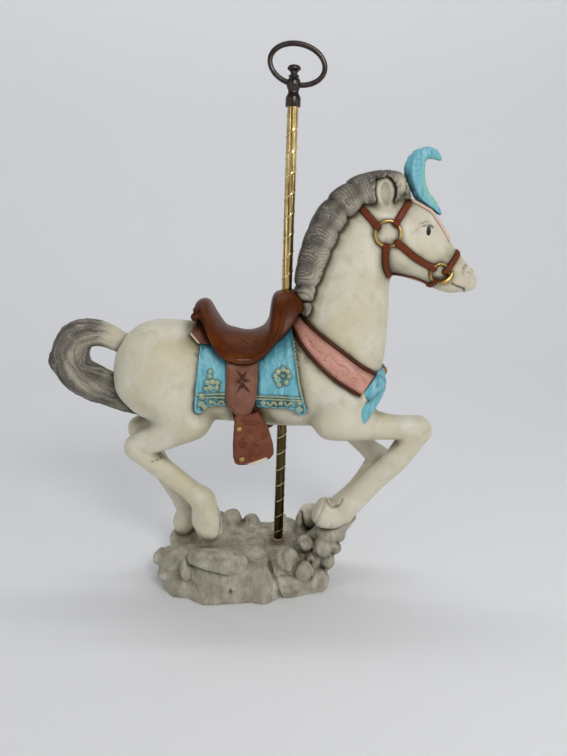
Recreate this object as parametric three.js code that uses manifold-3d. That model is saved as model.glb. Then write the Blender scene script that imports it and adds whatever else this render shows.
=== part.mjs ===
// Carousel horse figurine: a painted porcelain casting of a galloping horse on rocks,
// a brass pole through its saddle, and a bronze finial with an oval pull ring.
// Millimetres. +X is toward the horse's head, +Y toward its left side, +Z up. The origin is
// on the flat underside of the rocks, below the foot of the pole.
import * as THREE from 'three';
import { LoftGeometry } from 'three/addons/geometries/LoftGeometry.js';
import { mergeVertices } from 'three/addons/utils/BufferGeometryUtils.js';
import Module from 'manifold-3d';

const wasm = await Module();
wasm.setup();

// ---- driving dimensions -------------------------------------------------------------
const GAP = 0.3; // clearance between separate pieces
const POLE_RADIUS = 4.8;
const POLE_SIDES = 16;
const POLE_FOOT = new THREE.Vector3(0, 0, 34);
const POLE_TOP = new THREE.Vector3(13.2, 0, 434.2);
const FERRULE_START = 394; // distance up the pole's axis, from its foot
const RING_WIRE = 2.05; // radius of the ring's wire
const RING_HALF = [22, 14.6]; // half-axes of the oval the wire follows
const RING_TILT = -0.2; // radians, leaning toward the head
const TORSO_SIDES = 16;
const HEAD_SIDES = 14;
const LIMB_SIDES = 7;
const BLANKET_THICK = 1.8;
const COLLAR_THICK = 1.8;
const MANE_LOCKS = 16;
const NEAR = -1; // the side that carries the detail shown on both sides
const FAR = 1;

// ---- shape helpers ------------------------------------------------------------------

// A closed geometry as a solid that can be joined and cut.
function solid(geometry) {
  const bare = new THREE.BufferGeometry();
  bare.setAttribute('position', geometry.attributes.position);
  bare.setIndex(geometry.index);
  const merged = mergeVertices(bare, 1e-4);
  const index = merged.index.array;
  const triangles = [];
  for (let i = 0; i < index.length; i += 3) {
    const [a, b, c] = [index[i], index[i + 1], index[i + 2]];
    if (a !== b && b !== c && c !== a) triangles.push(a, b, c);
  }
  return new wasm.Manifold(new wasm.Mesh({
    numProp: 3,
    vertProperties: merged.attributes.position.array,
    triVerts: new Uint32Array(triangles),
  }));
}

function join(solids) {
  return solids.reduce((whole, next) => whole.add(next));
}

// A solid back as a three.js geometry.
function geometryOf(body) {
  const mesh = body.getMesh();
  const geometry = new THREE.BufferGeometry();
  geometry.setAttribute('position', new THREE.BufferAttribute(mesh.vertProperties, 3));
  geometry.setIndex(new THREE.BufferAttribute(mesh.triVerts, 1));
  geometry.computeVertexNormals();
  return geometry;
}

// One rounded section across `tangent`: `half` in the horse's side plane, `wide` along Y.
// A `power` of 2 is an ellipse, and a higher one is squarer.
function section(centre, tangent, half, wide, sides, power = 2) {
  const side = new THREE.Vector3(0, 1, 0);
  side.addScaledVector(tangent, -side.dot(tangent)).normalize();
  const across = new THREE.Vector3().crossVectors(side, tangent);
  const squared = (value) => Math.sign(value) * Math.abs(value) ** (2 / power);
  const points = [];
  for (let i = 0; i < sides; i += 1) {
    const angle = (i / sides) * 2 * Math.PI;
    points.push(centre.clone()
      .addScaledVector(across, half * squared(Math.cos(angle)))
      .addScaledVector(side, wide * squared(Math.sin(angle))));
  }
  return points;
}

// A smooth rounded limb through stations [x, y, z, half, wide], grown by `grow`, with
// domed ends.
function limb(stations, { sides = LIMB_SIDES, rounds = 1, grow = 0, power = 2 } = {}) {
  const path = new THREE.CatmullRomCurve3(
    stations.map(([x, y, z]) => new THREE.Vector3(x, y, z)), false, 'catmullrom', 0.5);
  const sizes = new THREE.CatmullRomCurve3(
    stations.map(([, , , half, wide]) => new THREE.Vector3(half + grow, wide + grow, 0)),
    false, 'catmullrom', 0.5);
  const sections = [];
  const add = (t, shrink, shift) => {
    const size = sizes.getPoint(t);
    const tangent = path.getTangent(t);
    const centre = path.getPoint(t).addScaledVector(tangent, shift * Math.min(size.x, size.y));
    sections.push(section(centre, tangent, size.x * shrink, size.y * shrink, sides, power));
  };
  const domes = Array.from({ length: rounds }, (_, i) => {
    const angle = ((i + 0.4) / (rounds + 0.4)) * (Math.PI / 2);
    return [Math.sin(angle), Math.cos(angle)];
  });
  domes.forEach(([shrink, shift]) => add(0, shrink, -shift));
  const count = stations.length - 1;
  for (let i = 0; i <= count; i += 1) add(i / count, 1, 0);
  domes.reverse().forEach(([shrink, shift]) => add(1, shrink, shift));
  return solid(new LoftGeometry(sections, { capStart: true, capEnd: true }));
}

function ellipsoid([x, y, z], [rx, ry, rz], columns = 7, rows = 5) {
  const ball = new THREE.SphereGeometry(1, columns, rows);
  ball.rotateX(Math.PI / 2);
  ball.scale(rx, ry, rz);
  ball.translate(x, y, z);
  return solid(ball);
}

// An outline in the side plane, given as [x, z] points, run through from y0 to y1.
function prism(outline, y0, y1, bevel = 0) {
  const shape = new THREE.Shape(outline.map(([x, z]) => new THREE.Vector2(x, z)));
  const block = new THREE.ExtrudeGeometry(shape, {
    depth: y1 - y0 - 2 * bevel,
    bevelEnabled: bevel > 0,
    bevelSize: bevel,
    bevelThickness: bevel,
    bevelOffset: -bevel,
    bevelSegments: 1,
  });
  block.rotateX(Math.PI / 2);
  block.translate(0, y1 - bevel, 0);
  return solid(block);
}

// Points of a smooth curve through a few [x, z] points.
function smooth(points, count) {
  const curve = new THREE.SplineCurve(points.map(([x, z]) => new THREE.Vector2(x, z)));
  return curve.getPoints(count).map((p) => [p.x, p.y]);
}

// ---- the horse's body ---------------------------------------------------------------

function torso(grow = 0) {
  const trunk = limb([
    [-147, 0, 204, 22, 22],
    [-140, 0, 205, 33, 32],
    [-126, 0, 206, 41, 40],
    [-104, 0, 208, 47, 43.5],
    [-78, 0, 207, 46, 42.5],
    [-56, 0, 204.5, 42, 40],
    [-30, 0, 201, 40.5, 39],
    [0, 0, 200, 43, 38],
    [26, 0, 203, 47, 37.5],
    [52, 0, 206, 46, 37],
    [72, 0, 208, 39, 32],
    [83, 0, 209, 27, 23],
  ], { sides: TORSO_SIDES, rounds: 2, grow });
  const neck = limb([
    [50, 0, 206, 40, 34],
    [56, 0, 234, 43, 33],
    [60, 0, 262, 38, 28],
    [64, 0, 290, 34, 24],
    [71, 0, 316, 31, 22],
    [83, 0, 338, 27, 19.5],
  ], { sides: TORSO_SIDES, rounds: 2, grow });
  return trunk.add(neck);
}

function head(grow = 0) {
  return limb([
    [90, 0, 343, 22, 17],
    [101, 0, 332, 27.5, 20.5],
    [110.5, 0, 323, 30, 21],
    [123, 0, 314, 26.5, 17.5],
    [137, 0, 304, 20.5, 12.5],
    [149, 0, 296, 17, 11],
    [158, 0, 290.5, 13.5, 10.5],
    [163, 0, 288, 9.5, 8.5],
  ], { sides: HEAD_SIDES, rounds: 2, grow });
}

function faceDetails() {
  const parts = [ellipsoid([150, 0, 283], [12, 7.5, 5.5])]; // lower lip and chin
  for (const side of [NEAR, FAR]) {
    parts.push(ellipsoid([124, side * 14, 331], [6, 4, 4.4], 6, 4)); // eye under its lids
    parts.push(ellipsoid([161, side * 7, 295], [5, 3.8, 5], 6, 4)); // nostril
    parts.push(ear(side));
  }
  return parts;
}

function ear(side) {
  const shell = limb([
    [87.5, side * 14, 347, 4.5, 4],
    [87.5, side * 16.5, 360, 8, 5],
    [86.8, side * 16, 370, 3.5, 3],
  ]);
  return shell.subtract(ellipsoid([87.5, side * 22, 359], [5, 4, 9], 6, 4));
}

// A leg's limbs on one side of the horse.
function leg(side, ...limbs) {
  return limbs.map((stations) => limb(
    stations.map(([x, y, z, half, wide]) => [x, side * y, z, half, wide])));
}

// Both near legs are on the horse's right. The far ones are set lower, under the body.
function legs() {
  const shoulder = [
    [64, 19, 206, 30, 20],
    [61, 22, 188, 29, 19],
    [55, 23, 170, 20, 16],
  ];
  const haunch = [
    [-112, 21, 212, 34, 22],
    [-96, 23, 189, 34, 21],
    [-80, 24, 170, 21, 18],
  ];
  const nearFore = leg(NEAR, shoulder, [
    [47, 23, 166, 18, 15],
    [70, 24, 164.5, 16.5, 15],
    [100, 22, 160, 12, 11],
    [125, 20, 156.5, 12.5, 11],
  ], [
    [125, 20, 154, 12.5, 11],
    [108, 20, 128, 11.5, 9.5],
    [88, 19, 107, 11, 8.5],
    [66, 19, 82, 12.5, 10.5],
  ], [
    [61, 19, 75, 12.5, 11],
    [49, 19, 73, 14.5, 13],
    [38, 19, 75.5, 14, 13],
  ]);
  const farFore = leg(FAR, shoulder, [
    [60, 19, 158, 15, 13],
    [80, 18, 138, 10, 10],
    [104, 16, 116, 11, 10],
  ], [
    [104, 16, 115, 11, 10],
    [82, 16, 85, 9.5, 8.5],
    [60, 16, 62, 11, 10],
  ], [
    [53, 16, 56, 11.5, 10.5],
    [42, 16, 51, 13, 12],
    [32, 16, 52, 12.5, 12],
  ]);
  const nearHind = leg(NEAR, haunch, [
    [-77, 24, 168, 18, 17],
    [-100, 24, 156, 15.5, 13],
    [-129, 22, 141.5, 10.5, 9.5],
  ], [
    [-128, 22, 140, 10.5, 9.5],
    [-106, 21, 120.5, 11, 9],
    [-82, 20, 99.5, 10.5, 8.5],
    [-70, 20, 87, 12, 10],
  ], [
    [-69.5, 20, 78, 13, 10.5],
    [-69, 20, 64, 15.5, 12.5],
    [-68, 20, 55, 13, 12],
  ]);
  const farHind = leg(FAR, haunch, [
    [-84, 22, 167, 17, 15],
    [-108, 21, 157.5, 14, 12],
    [-134, 18, 146, 11, 9.5],
  ], [
    [-133, 18, 142, 11, 9.5],
    [-112, 16, 100, 10, 8.5],
    [-94, 14, 67, 10.5, 9.5],
  ], [
    [-95, 14, 57, 11, 10],
    [-95, 14, 43, 11.5, 11],
    [-92, 14, 32, 8, 9],
  ]);
  return [...nearFore, ...farFore, ...nearHind, ...farHind];
}

// ---- mane, forelock, tail and plume -------------------------------------------------

// The mane lies over the crest from the saddle to the brow, in locks that stand out by turns.
function mane() {
  const line = smooth([[23, 266], [27, 288], [33, 312], [42, 335], [55, 352], [76, 365],
    [99, 367]], MANE_LOCKS);
  const last = MANE_LOCKS;
  const stations = line.map(([x, z], i) => {
    const full = Math.min(1, 0.55 + i / 6, 0.75 + (last - i) / 8);
    const proud = i % 2 === 0 ? 1.2 : -1.2;
    return [x, 0, z, 13.5 * full + proud, 20 * full + proud];
  });
  return limb(stations, { sides: 9, power: 2.6 });
}

function tail() {
  return [
    limb([
      [-140, 0, 232, 8, 9],
      [-154, 0, 239.5, 11, 10],
      [-169, 0, 243, 13, 12],
      [-183, 0, 238, 15, 13],
      [-189, 0, 224, 16, 13],
      [-192, 0, 211, 12, 10],
    ]),
    limb([
      [-186, 0, 222, 16, 13],
      [-183, 0, 206, 17, 14],
      [-168, 0, 195, 16, 13.5],
      [-154, 0, 190, 14.5, 12],
      [-142, 0, 182, 12, 10],
      [-131, 0, 174, 7, 7],
    ]),
    limb([
      [-178, 9, 240, 9, 6],
      [-190, 11, 222, 10, 7],
      [-192, 9, 203, 6, 5],
    ]),
    limb([
      [-185, -10, 214, 9, 6],
      [-172, -12, 198, 10, 6],
      [-150, -10, 184, 7, 5],
    ]),
  ];
}

function plume() {
  return limb([
    [135, 0, 346, 2.2, 3],
    [130.5, 0, 349.5, 3.8, 4.5],
    [122.5, 0, 356, 5.2, 6],
    [117, 0, 363, 5.8, 6.5],
    [114, 0, 371, 6.8, 6.5],
    [113.8, 0, 380, 8, 6],
    [116.5, 0, 389.5, 6.6, 5.5],
    [123, 0, 393.8, 4.5, 5],
    [129.5, 0, 392.2, 3.8, 4],
    [133, 0, 390, 2, 2.5],
  ]);
}

// ---- saddle, cloth and harness ------------------------------------------------------

// The seat rises to the cantle behind and to the pommel in front, and its flaps hang down
// both sides to a curved rim. Each row is [x, crown height, rim height, half-width at the
// rim, squareness of the arch].
const SEAT_SECTIONS = [
  [-75, 258, 252, 16, 2],
  [-72.5, 266, 253, 25, 2.2],
  [-68, 272, 256, 29, 2.4],
  [-63, 273.5, 251, 34, 2.4],
  [-57, 266, 244, 38, 2.4],
  [-50, 252.5, 235, 41, 2.4],
  [-41, 247, 226.5, 42.5, 2.3],
  [-26, 245, 223.5, 42.5, 2.2],
  [-12, 248, 227, 42, 2.4],
  [-7.5, 256, 231, 41, 2.6],
  [-5.5, 270, 233, 40, 2.8],
  [-2.5, 278, 236, 39, 2.8],
  [5, 280.5, 244, 36, 2.8],
  [13, 280, 255, 31, 2.8],
  [19, 277, 264, 24, 2.6],
  [22, 271, 262, 18, 2.4],
];

function seat() {
  const columns = 9;
  const tuck = 6; // how far the flaps' inner edge is sunk into the body
  const sections = SEAT_SECTIONS.map(([x, crown, rim, half, power]) => {
    const points = [];
    for (let i = 0; i <= columns; i += 1) {
      const y = half * Math.sin(((i / columns) * 2 - 1) * Math.PI / 2);
      const arch = 1 - Math.abs(y / half) ** power;
      points.push(new THREE.Vector3(x, y, rim + (crown - rim) * arch));
    }
    points.push(new THREE.Vector3(x, half * 0.75, rim - tuck));
    points.push(new THREE.Vector3(x, -half * 0.75, rim - tuck));
    return points.reverse();
  });
  return solid(new LoftGeometry(sections, { capStart: true, capEnd: true }));
}

function saddle() {
  const parts = [seat()];
  for (const side of [NEAR, FAR]) {
    parts.push(fender(side), stirrup(side));
  }
  return parts;
}

function fender(side) {
  return limb([
    [-29.5, side * 32, 222, 13, 7],
    [-30.5, side * 35.5, 205, 13.8, 7],
    [-30.5, side * 36, 190, 13.3, 7],
    [-28, side * 37, 179, 9, 6],
  ]);
}

function stirrup(side) {
  const outline = [[-37, 176], [-38.5, 153], [-38.3, 136.5], [-33.2, 133.7], [-16.7, 135.8],
    [-2.7, 140.6], [-3.3, 150.2], [-8.8, 165], [-15.5, 179], [-28, 183]];
  return prism(outline, side * 40 - 7, side * 40 + 7, 2);
}

function blanket() {
  const outline = [[-63, 250], [-64.2, 240.7], [-67, 215.4], [-69.1, 194.6], [-71.6, 183],
    [-69.5, 180.5], [-65, 180.5], [-62, 184.7], [-44.3, 185.3], [-3.9, 184], [8.7, 181.3],
    [15.1, 177.3], [21, 175.8], [25, 178.5], [20, 202.4], [16, 228.1], [12.9, 247], [12, 262],
    [-60, 262]];
  return torso(BLANKET_THICK).intersect(prism(outline, -60, 60));
}

function breastCollar() {
  const upper = [[19, 265], [27, 254.5], [39.5, 245.7], [58.4, 231.8], [81.5, 215.1], [110, 200]];
  const lower = [[11, 252], [16, 242.8], [23.4, 234], [33.5, 223.8], [46.1, 212.3],
    [58.8, 203.8], [84, 190], [110, 178]];
  return torso(COLLAR_THICK).intersect(prism(upper.concat(lower.reverse()), -60, 60));
}

function bow() {
  const parts = [
    ellipsoid([97, 0, 206], [6, 9, 7]),
    ellipsoid([99, 0, 213], [4, 5, 5]),
  ];
  for (const side of [NEAR, FAR]) {
    parts.push(limb([
      [96, side * 6, 206, 6, 4],
      [88, side * 20, 207, 9, 4],
      [81, side * 27, 208, 7, 3],
    ]));
    parts.push(limb([
      [95, side * 6, 202, 6, 4],
      [86, side * 21, 192, 9, 4],
      [76, side * 28, 180, 7.5, 3.5],
      [70, side * 28, 171, 3, 2.5],
    ]));
  }
  return parts;
}

function bridle() {
  const parts = [];
  for (const side of [NEAR, FAR]) {
    parts.push(harnessRing([91, side * 21.5, 329], 10.2, 2));
    parts.push(harnessRing([138, side * 13, 296.5], 7.6, 1.9));
  }
  return parts;
}

function harnessRing([x, y, z], radius, wire) {
  const ring = new THREE.TorusGeometry(radius, wire, 4, 11);
  ring.rotateX(Math.PI / 2);
  ring.translate(x, y, z);
  return solid(ring);
}

// ---- rocks --------------------------------------------------------------------------

function rocks() {
  const footprint = [[-112, -20], [-105, -38], [-98, -46], [-84, -48], [-72, -56], [-58, -58],
    [-38, -56], [-12, -55], [-2, -50], [8, -47], [25, -44], [38, -38], [48, -28], [50, -10],
    [46, 14], [36, 34], [14, 46], [-16, 52], [-50, 54], [-82, 48], [-104, 32], [-113, 6]];
  const edge = new THREE.CatmullRomCurve3(
    footprint.map(([x, y]) => new THREE.Vector3(x, y, 0)), true, 'catmullrom', 0.5);
  const columns = 28;
  const rim = edge.getPoints(columns).slice(0, columns);
  const centre = new THREE.Vector3(-30, 0, 0);
  const levels = [[0, 0.98], [5, 1], [16, 0.99], [26, 0.9], [33, 0.7], [35, 0.35]];
  const sections = levels.map(([z, spread]) => rim.map((p, i) => {
    const groove = 1 + 0.035 * Math.sin(i * 2.4) * Math.min(z / 8, 1);
    const rise = z > 25 ? 2.2 * Math.sin(i * 1.3) : 0;
    return p.clone().sub(centre).multiplyScalar(spread * groove).add(centre).setZ(z + rise);
  }));
  const mound = solid(new LoftGeometry(sections, { capStart: true, capEnd: true }));
  const boulders = [
    [[-106, -8, 20], [17, 24, 15]],
    [[-88, -32, 22], [18, 18, 14]],
    [[-52, -36, 24], [24, 18, 14]],
    [[-92, 14, 27], [22, 18, 12]],
    [[-50, 38, 30], [14, 12, 14]],
    [[-14, 38, 26], [22, 12, 12]],
    [[30, 16, 26], [18, 16, 16]],
    [[24, -40, 20], [12, 10, 12]],
    [[25, -27, 44], [9, 9, 9]],
    [[41, -24, 41], [12, 10, 12]],
  ].map(([place, size]) => ellipsoid(place, size));
  const column = limb([
    [34, -6, 20, 20, 22],
    [42, -10, 36, 18, 19],
    [49, -13, 50, 14, 15],
    [60, -16, 62, 9, 10],
    [70, -17, 70, 5, 6],
  ]);
  const underside = prism([[-200, -60], [120, -60], [120, 0], [-200, 0]], -100, 100);
  return join([mound, ...boulders, column]).subtract(underside);
}

// ---- pole, finial and ring ----------------------------------------------------------

const POLE_LENGTH = POLE_FOOT.distanceTo(POLE_TOP);

// Puts a shape made around +Z from the origin onto the leaning axis of the pole.
function onPoleAxis(geometry) {
  const lean = new THREE.Quaternion().setFromUnitVectors(
    new THREE.Vector3(0, 0, 1), POLE_TOP.clone().sub(POLE_FOOT).normalize());
  geometry.applyQuaternion(lean);
  geometry.translate(POLE_FOOT.x, POLE_FOOT.y, POLE_FOOT.z);
  return geometry;
}

function rod(radius, start, end, sides = POLE_SIDES) {
  const bar = new THREE.CylinderGeometry(radius, radius, end - start, sides);
  bar.rotateX(Math.PI / 2);
  bar.translate(0, 0, (start + end) / 2);
  return onPoleAxis(bar);
}

function finial() {
  const bore = POLE_RADIUS + GAP;
  const top = FERRULE_START;
  const profile = [
    [0, POLE_LENGTH + GAP], [bore, POLE_LENGTH + GAP], [bore, top], [6.1, top], [6.1, top + 7],
    [4.3, top + 10.5], [4.6, top + 12.5], [5.6, top + 15], [5.6, top + 18.5], [4.1, top + 21.4],
    [4.1, top + 22.6], [2.8, top + 24.4], [5.4, top + 27.2], [5.4, top + 28.2], [3.2, top + 30],
    [0, top + 30.8],
  ].map(([r, h]) => new THREE.Vector2(r, h));
  const turned = new THREE.LatheGeometry(profile, 14);
  turned.rotateX(Math.PI / 2);
  return solid(onPoleAxis(turned));
}

// The oval hangs through the ball of the finial and stands in the side plane.
function pullRing(wire) {
  const steps = 28;
  const sections = [];
  const oval = new THREE.EllipseCurve(16.5, 458.5, ...RING_HALF, 0, 2 * Math.PI, false, RING_TILT);
  for (let i = 0; i <= steps; i += 1) {
    const t = (i % steps) / steps;
    const p = oval.getPoint(t);
    const d = oval.getTangent(t);
    const tangent = new THREE.Vector3(d.x, 0, d.y);
    sections.push(section(new THREE.Vector3(p.x, 0, p.y), tangent, wire, wire, 7));
  }
  return solid(new LoftGeometry(sections));
}

// ---- assembly -----------------------------------------------------------------------

function casting() {
  const bore = solid(rod(POLE_RADIUS + GAP, -GAP, FERRULE_START - GAP));
  return join([
    torso(), head(), ...faceDetails(), ...legs(), mane(), ...tail(), plume(), ...saddle(),
    blanket(), breastCollar(), ...bow(), ...bridle(), rocks(),
  ]).subtract(bore);
}

function part(name, body, color, roughness, metalness) {
  const material = new THREE.MeshStandardMaterial({ color, roughness, metalness });
  const mesh = new THREE.Mesh(geometryOf(body), material);
  mesh.name = name;
  return mesh;
}

const horse = new THREE.Group();
horse.add(part('horse_and_rocks', casting(), 0xd8d2c0, 0.55, 0));
horse.add(part('pole', solid(rod(POLE_RADIUS, 0, POLE_LENGTH)), 0xb08d3c, 0.25, 1));
horse.add(part('finial', finial().subtract(pullRing(RING_WIRE + GAP)), 0x4a3a2c, 0.4, 0.9));
horse.add(part('pull_ring', pullRing(RING_WIRE), 0x5a4632, 0.4, 0.9));

export default horse;
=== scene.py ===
import math

import bpy
import numpy as np
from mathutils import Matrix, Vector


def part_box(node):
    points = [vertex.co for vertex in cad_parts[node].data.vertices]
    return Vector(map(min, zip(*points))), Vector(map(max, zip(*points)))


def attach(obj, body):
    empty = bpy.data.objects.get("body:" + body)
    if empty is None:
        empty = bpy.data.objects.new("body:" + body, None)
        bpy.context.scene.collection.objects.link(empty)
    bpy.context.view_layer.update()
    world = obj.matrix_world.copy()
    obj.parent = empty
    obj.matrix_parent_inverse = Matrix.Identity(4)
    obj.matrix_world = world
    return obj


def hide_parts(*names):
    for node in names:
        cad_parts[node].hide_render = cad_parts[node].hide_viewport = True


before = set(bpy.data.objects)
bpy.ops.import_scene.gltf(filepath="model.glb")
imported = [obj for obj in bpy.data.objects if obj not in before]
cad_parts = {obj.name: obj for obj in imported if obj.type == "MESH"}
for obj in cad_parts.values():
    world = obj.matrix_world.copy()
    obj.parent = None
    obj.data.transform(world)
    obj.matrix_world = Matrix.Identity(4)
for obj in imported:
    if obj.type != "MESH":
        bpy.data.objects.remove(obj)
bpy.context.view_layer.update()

import openvdb
from mathutils import Vector

MM = 0.001
NEAR, FAR = -1, 1
SIDES = (NEAR, FAR)
WORDS = {NEAR: "near", FAR: "far"}
OUTSIDE = np.float32(50.0)
BODY_PITCH = 1.03
FINE_PITCH = 0.83
ROCK_PITCH = 1.12
EYE_PITCH = 0.3
WHOLE_LOW, WHOLE_HIGH, WHOLE_PITCH = (-212, -64, -4), (184, 64, 404), 2.0
BODY_ADAPTIVITY = 0.008
SPECK = 0.01
rng = np.random.default_rng(7)


# ---- distance fields ----------------------------------------------------------------------

class Field:
    """A block of voxels that holds the signed distance to a form, in millimetres."""

    def __init__(self, low, high, pitch):
        self.low = np.array(low, np.float32)
        self.pitch = pitch
        shape = np.ceil((np.array(high) - self.low) / pitch).astype(int) + 1
        self.value = np.full(shape, OUTSIDE, np.float32)
        self.carved = None

    def window(self, low=None, high=None):
        """Slices of the voxels between two corners, and their open X, Y and Z coordinates."""
        shape = self.value.shape
        low = self.low if low is None else low
        high = self.low + self.pitch * (np.array(shape) - 1) if high is None else high
        first = np.clip(np.floor((np.array(low) - self.low) / self.pitch).astype(int), 0, shape)
        last = np.clip(np.ceil((np.array(high) - self.low) / self.pitch).astype(int) + 1, 0, shape)
        slices = tuple(slice(a, b) for a, b in zip(first, last))
        axes = [self.low[i] + self.pitch * np.arange(first[i], last[i], dtype=np.float32)
                for i in range(3)]
        return slices, np.ix_(*axes)

    def add(self, slices, distance, blend=0.0):
        self.value[slices] = smooth_min(self.value[slices], distance, blend)

    def join(self, slices, distance, blend, cut):
        """Cuts a form out of this one, or adds it."""
        if cut:
            self.value[slices] = smooth_max(self.value[slices], -distance, blend)
        else:
            self.add(slices, distance, blend)

    def mark(self, slices, amount):
        """Keeps, from 0 to 1, how far the voxels lie in a carved groove."""
        if self.carved is None:
            self.carved = Field(self.low, self.low, self.pitch)
            self.carved.value = np.zeros(self.value.shape, np.float32)
        kept = self.carved.value
        kept[slices] = np.maximum(kept[slices], amount)

    def sample(self, points):
        """The distance at points (n, 3), between voxels by trilinear steps."""
        place = (points - self.low) / self.pitch
        top = np.array(self.value.shape) - 1.001
        place = np.clip(place, 0, top)
        base = place.astype(int)
        part = place - base
        total = np.zeros(len(points), np.float32)
        for corner in np.ndindex(2, 2, 2):
            weight = np.prod(np.where(np.array(corner) == 1, part, 1 - part), axis=1)
            i, j, k = (base + corner).T
            total += weight * self.value[i, j, k]
        return total

    def on_grid_of(self, other):
        """This field at the voxels of another one."""
        value = self.value
        for n, axis in enumerate(other.window()[1]):
            place = np.clip((axis.ravel() - self.low[n]) / self.pitch, 0, value.shape[n] - 1.001)
            base = place.astype(int)
            part = (place - base).astype(np.float32).reshape(axis.shape)
            lower = np.take(value, base, axis=n)
            value = lower + (np.take(value, base + 1, axis=n) - lower) * part
        return value


def side_field(side, x, y, z, pitch=FINE_PITCH):
    """An empty field on one side, from ranges of X, of how far out Y is, and of Z."""
    reach = sorted((side * y[0], side * y[1]))
    return Field((x[0], reach[0], z[0]), (x[1], reach[1], z[1]), pitch)


def field_over(horse, low, high):
    """An empty field, the body's distance at its voxels, and their open coordinates."""
    field = Field(low, high, FINE_PITCH)
    return field, horse.on_grid_of(field), field.window()[1]


def smooth_min(a, b, blend):
    if blend <= 0:
        return np.minimum(a, b)
    h = np.maximum(blend - np.abs(a - b), 0) / blend
    return np.minimum(a, b) - h * h * (blend / 4)


def smooth_max(a, b, blend):
    return -smooth_min(-a, -b, blend)


def curve(rows, per_span=6):
    """Rows of numbers with Catmull-Rom ones between them."""
    rows = np.array(rows, float)
    ends = np.vstack([2 * rows[0] - rows[1], rows, 2 * rows[-1] - rows[-2]])
    out = []
    for i in range(len(rows) - 1):
        a, b, c, d = ends[i:i + 4]
        for t in np.arange(per_span) / per_span:
            out.append(0.5 * (2 * b + (c - a) * t + (2 * a - 5 * b + 4 * c - d) * t * t
                              + (3 * b - a - 3 * c + d) * t ** 3))
    out.append(rows[-1])
    return np.array(out)


def limb_distance(field, stations, margin, power=2.0):
    """A smooth rounded limb through stations [x, y, z, half, wide]: `half` is in the side plane
    and `wide` along Y. Gives its window, open coordinates and distance, and each voxel's place
    `along` it, from 0 to 1, and `angle` around it, which is 0 on the side of its `across`."""
    line = curve(stations, 3)
    line[:, 3:] = np.maximum(line[:, 3:], 0.5)
    reach = line[:, 3:].max(axis=1, keepdims=True) + margin
    slices, (x, y, z) = field.window((line[:, :3] - reach).min(0), (line[:, :3] + reach).max(0))
    shape = np.broadcast_shapes(x.shape, y.shape, z.shape)
    nearest = np.full(shape, np.float32(1e9))
    place = np.zeros(shape, np.float32)
    for i in range(len(line) - 1):
        a = line[i, :3].astype(np.float32)
        step = (line[i + 1, :3] - line[i, :3]).astype(np.float32)
        s = ((x - a[0]) * step[0] + (y - a[1]) * step[1] + (z - a[2]) * step[2])
        s = np.clip(s / (step @ step), 0, 1)
        gap = ((x - a[0] - s * step[0]) ** 2 + (y - a[1] - s * step[1]) ** 2
               + (z - a[2] - s * step[2]) ** 2)
        closer = gap < nearest
        nearest = np.where(closer, gap, nearest)
        place = np.where(closer, i + s, place)
    index = np.arange(len(line), dtype=np.float32)
    tangent = np.gradient(line[:, :3], axis=0)
    tangent /= np.linalg.norm(tangent, axis=1, keepdims=True)
    side = np.array([0, 1, 0]) - tangent * tangent[:, 1:2]
    side /= np.linalg.norm(side, axis=1, keepdims=True)
    across = np.cross(side, tangent)

    def at(values):
        return np.interp(place, index, values).astype(np.float32)

    rx, ry, rz = x - at(line[:, 0]), y - at(line[:, 1]), z - at(line[:, 2])
    half, wide = at(line[:, 3]), at(line[:, 4])
    u = rx * at(across[:, 0]) + ry * at(across[:, 1]) + rz * at(across[:, 2])
    v = rx * at(side[:, 0]) + ry * at(side[:, 1]) + rz * at(side[:, 2])
    w = rx * at(tangent[:, 0]) + ry * at(tangent[:, 1]) + rz * at(tangent[:, 2])
    between_ends = (place > 0.001) & (place < len(line) - 1.001)
    w = np.where(between_ends, 0, w)
    dome = np.minimum(half, wide)
    if power == 2.0:
        k1 = np.sqrt((u / half) ** 2 + (v / wide) ** 2 + (w / dome) ** 2) + 1e-6
        k2 = np.sqrt((u / half ** 2) ** 2 + (v / wide ** 2) ** 2 + (w / dome ** 2) ** 2) + 1e-6
        distance = k1 * (k1 - 1) / k2
    else:
        k1 = (np.abs(u / half) ** power + np.abs(v / wide) ** power
              + np.abs(w / dome) ** power) ** (1 / power) + 1e-6
        distance = np.sqrt(u * u + v * v + w * w) * (1 - 1 / k1)
    angle = np.arctan2(v / wide, u / half)
    return slices, (x, y, z), distance.astype(np.float32), place / (len(line) - 1), angle


def limb(field, stations, blend=0.0, relief=None, cut=False):
    """Adds or cuts a limb. `relief(along, angle, axes)` in millimetres is carved into it."""
    slices, axes, distance, along, angle = limb_distance(field, stations, blend + 3)
    if relief is not None:
        distance = (distance + relief(along, angle, axes)).astype(np.float32)
    field.join(slices, distance, blend, cut)


def ellipsoid(field, centre, radii, blend=0.0, cut=False, tilt=0.0):
    """Adds or cuts an ellipsoid. `tilt` turns it in the side plane, in degrees."""
    reach = max(radii) + blend + 3
    centre = np.array(centre, np.float32)
    slices, (x, y, z) = field.window(centre - reach, centre + reach)
    c, s = math.cos(math.radians(tilt)), math.sin(math.radians(tilt))
    u = (x - centre[0]) * c + (z - centre[2]) * s
    w = -(x - centre[0]) * s + (z - centre[2]) * c
    v = y - centre[1]
    k1 = np.sqrt((u / radii[0]) ** 2 + (v / radii[1]) ** 2 + (w / radii[2]) ** 2) + 1e-6
    k2 = np.sqrt((u / radii[0] ** 2) ** 2 + (v / radii[1] ** 2) ** 2
                 + (w / radii[2] ** 2) ** 2) + 1e-6
    distance = (k1 * (k1 - 1) / k2).astype(np.float32)
    field.join(slices, distance, blend, cut)


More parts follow.
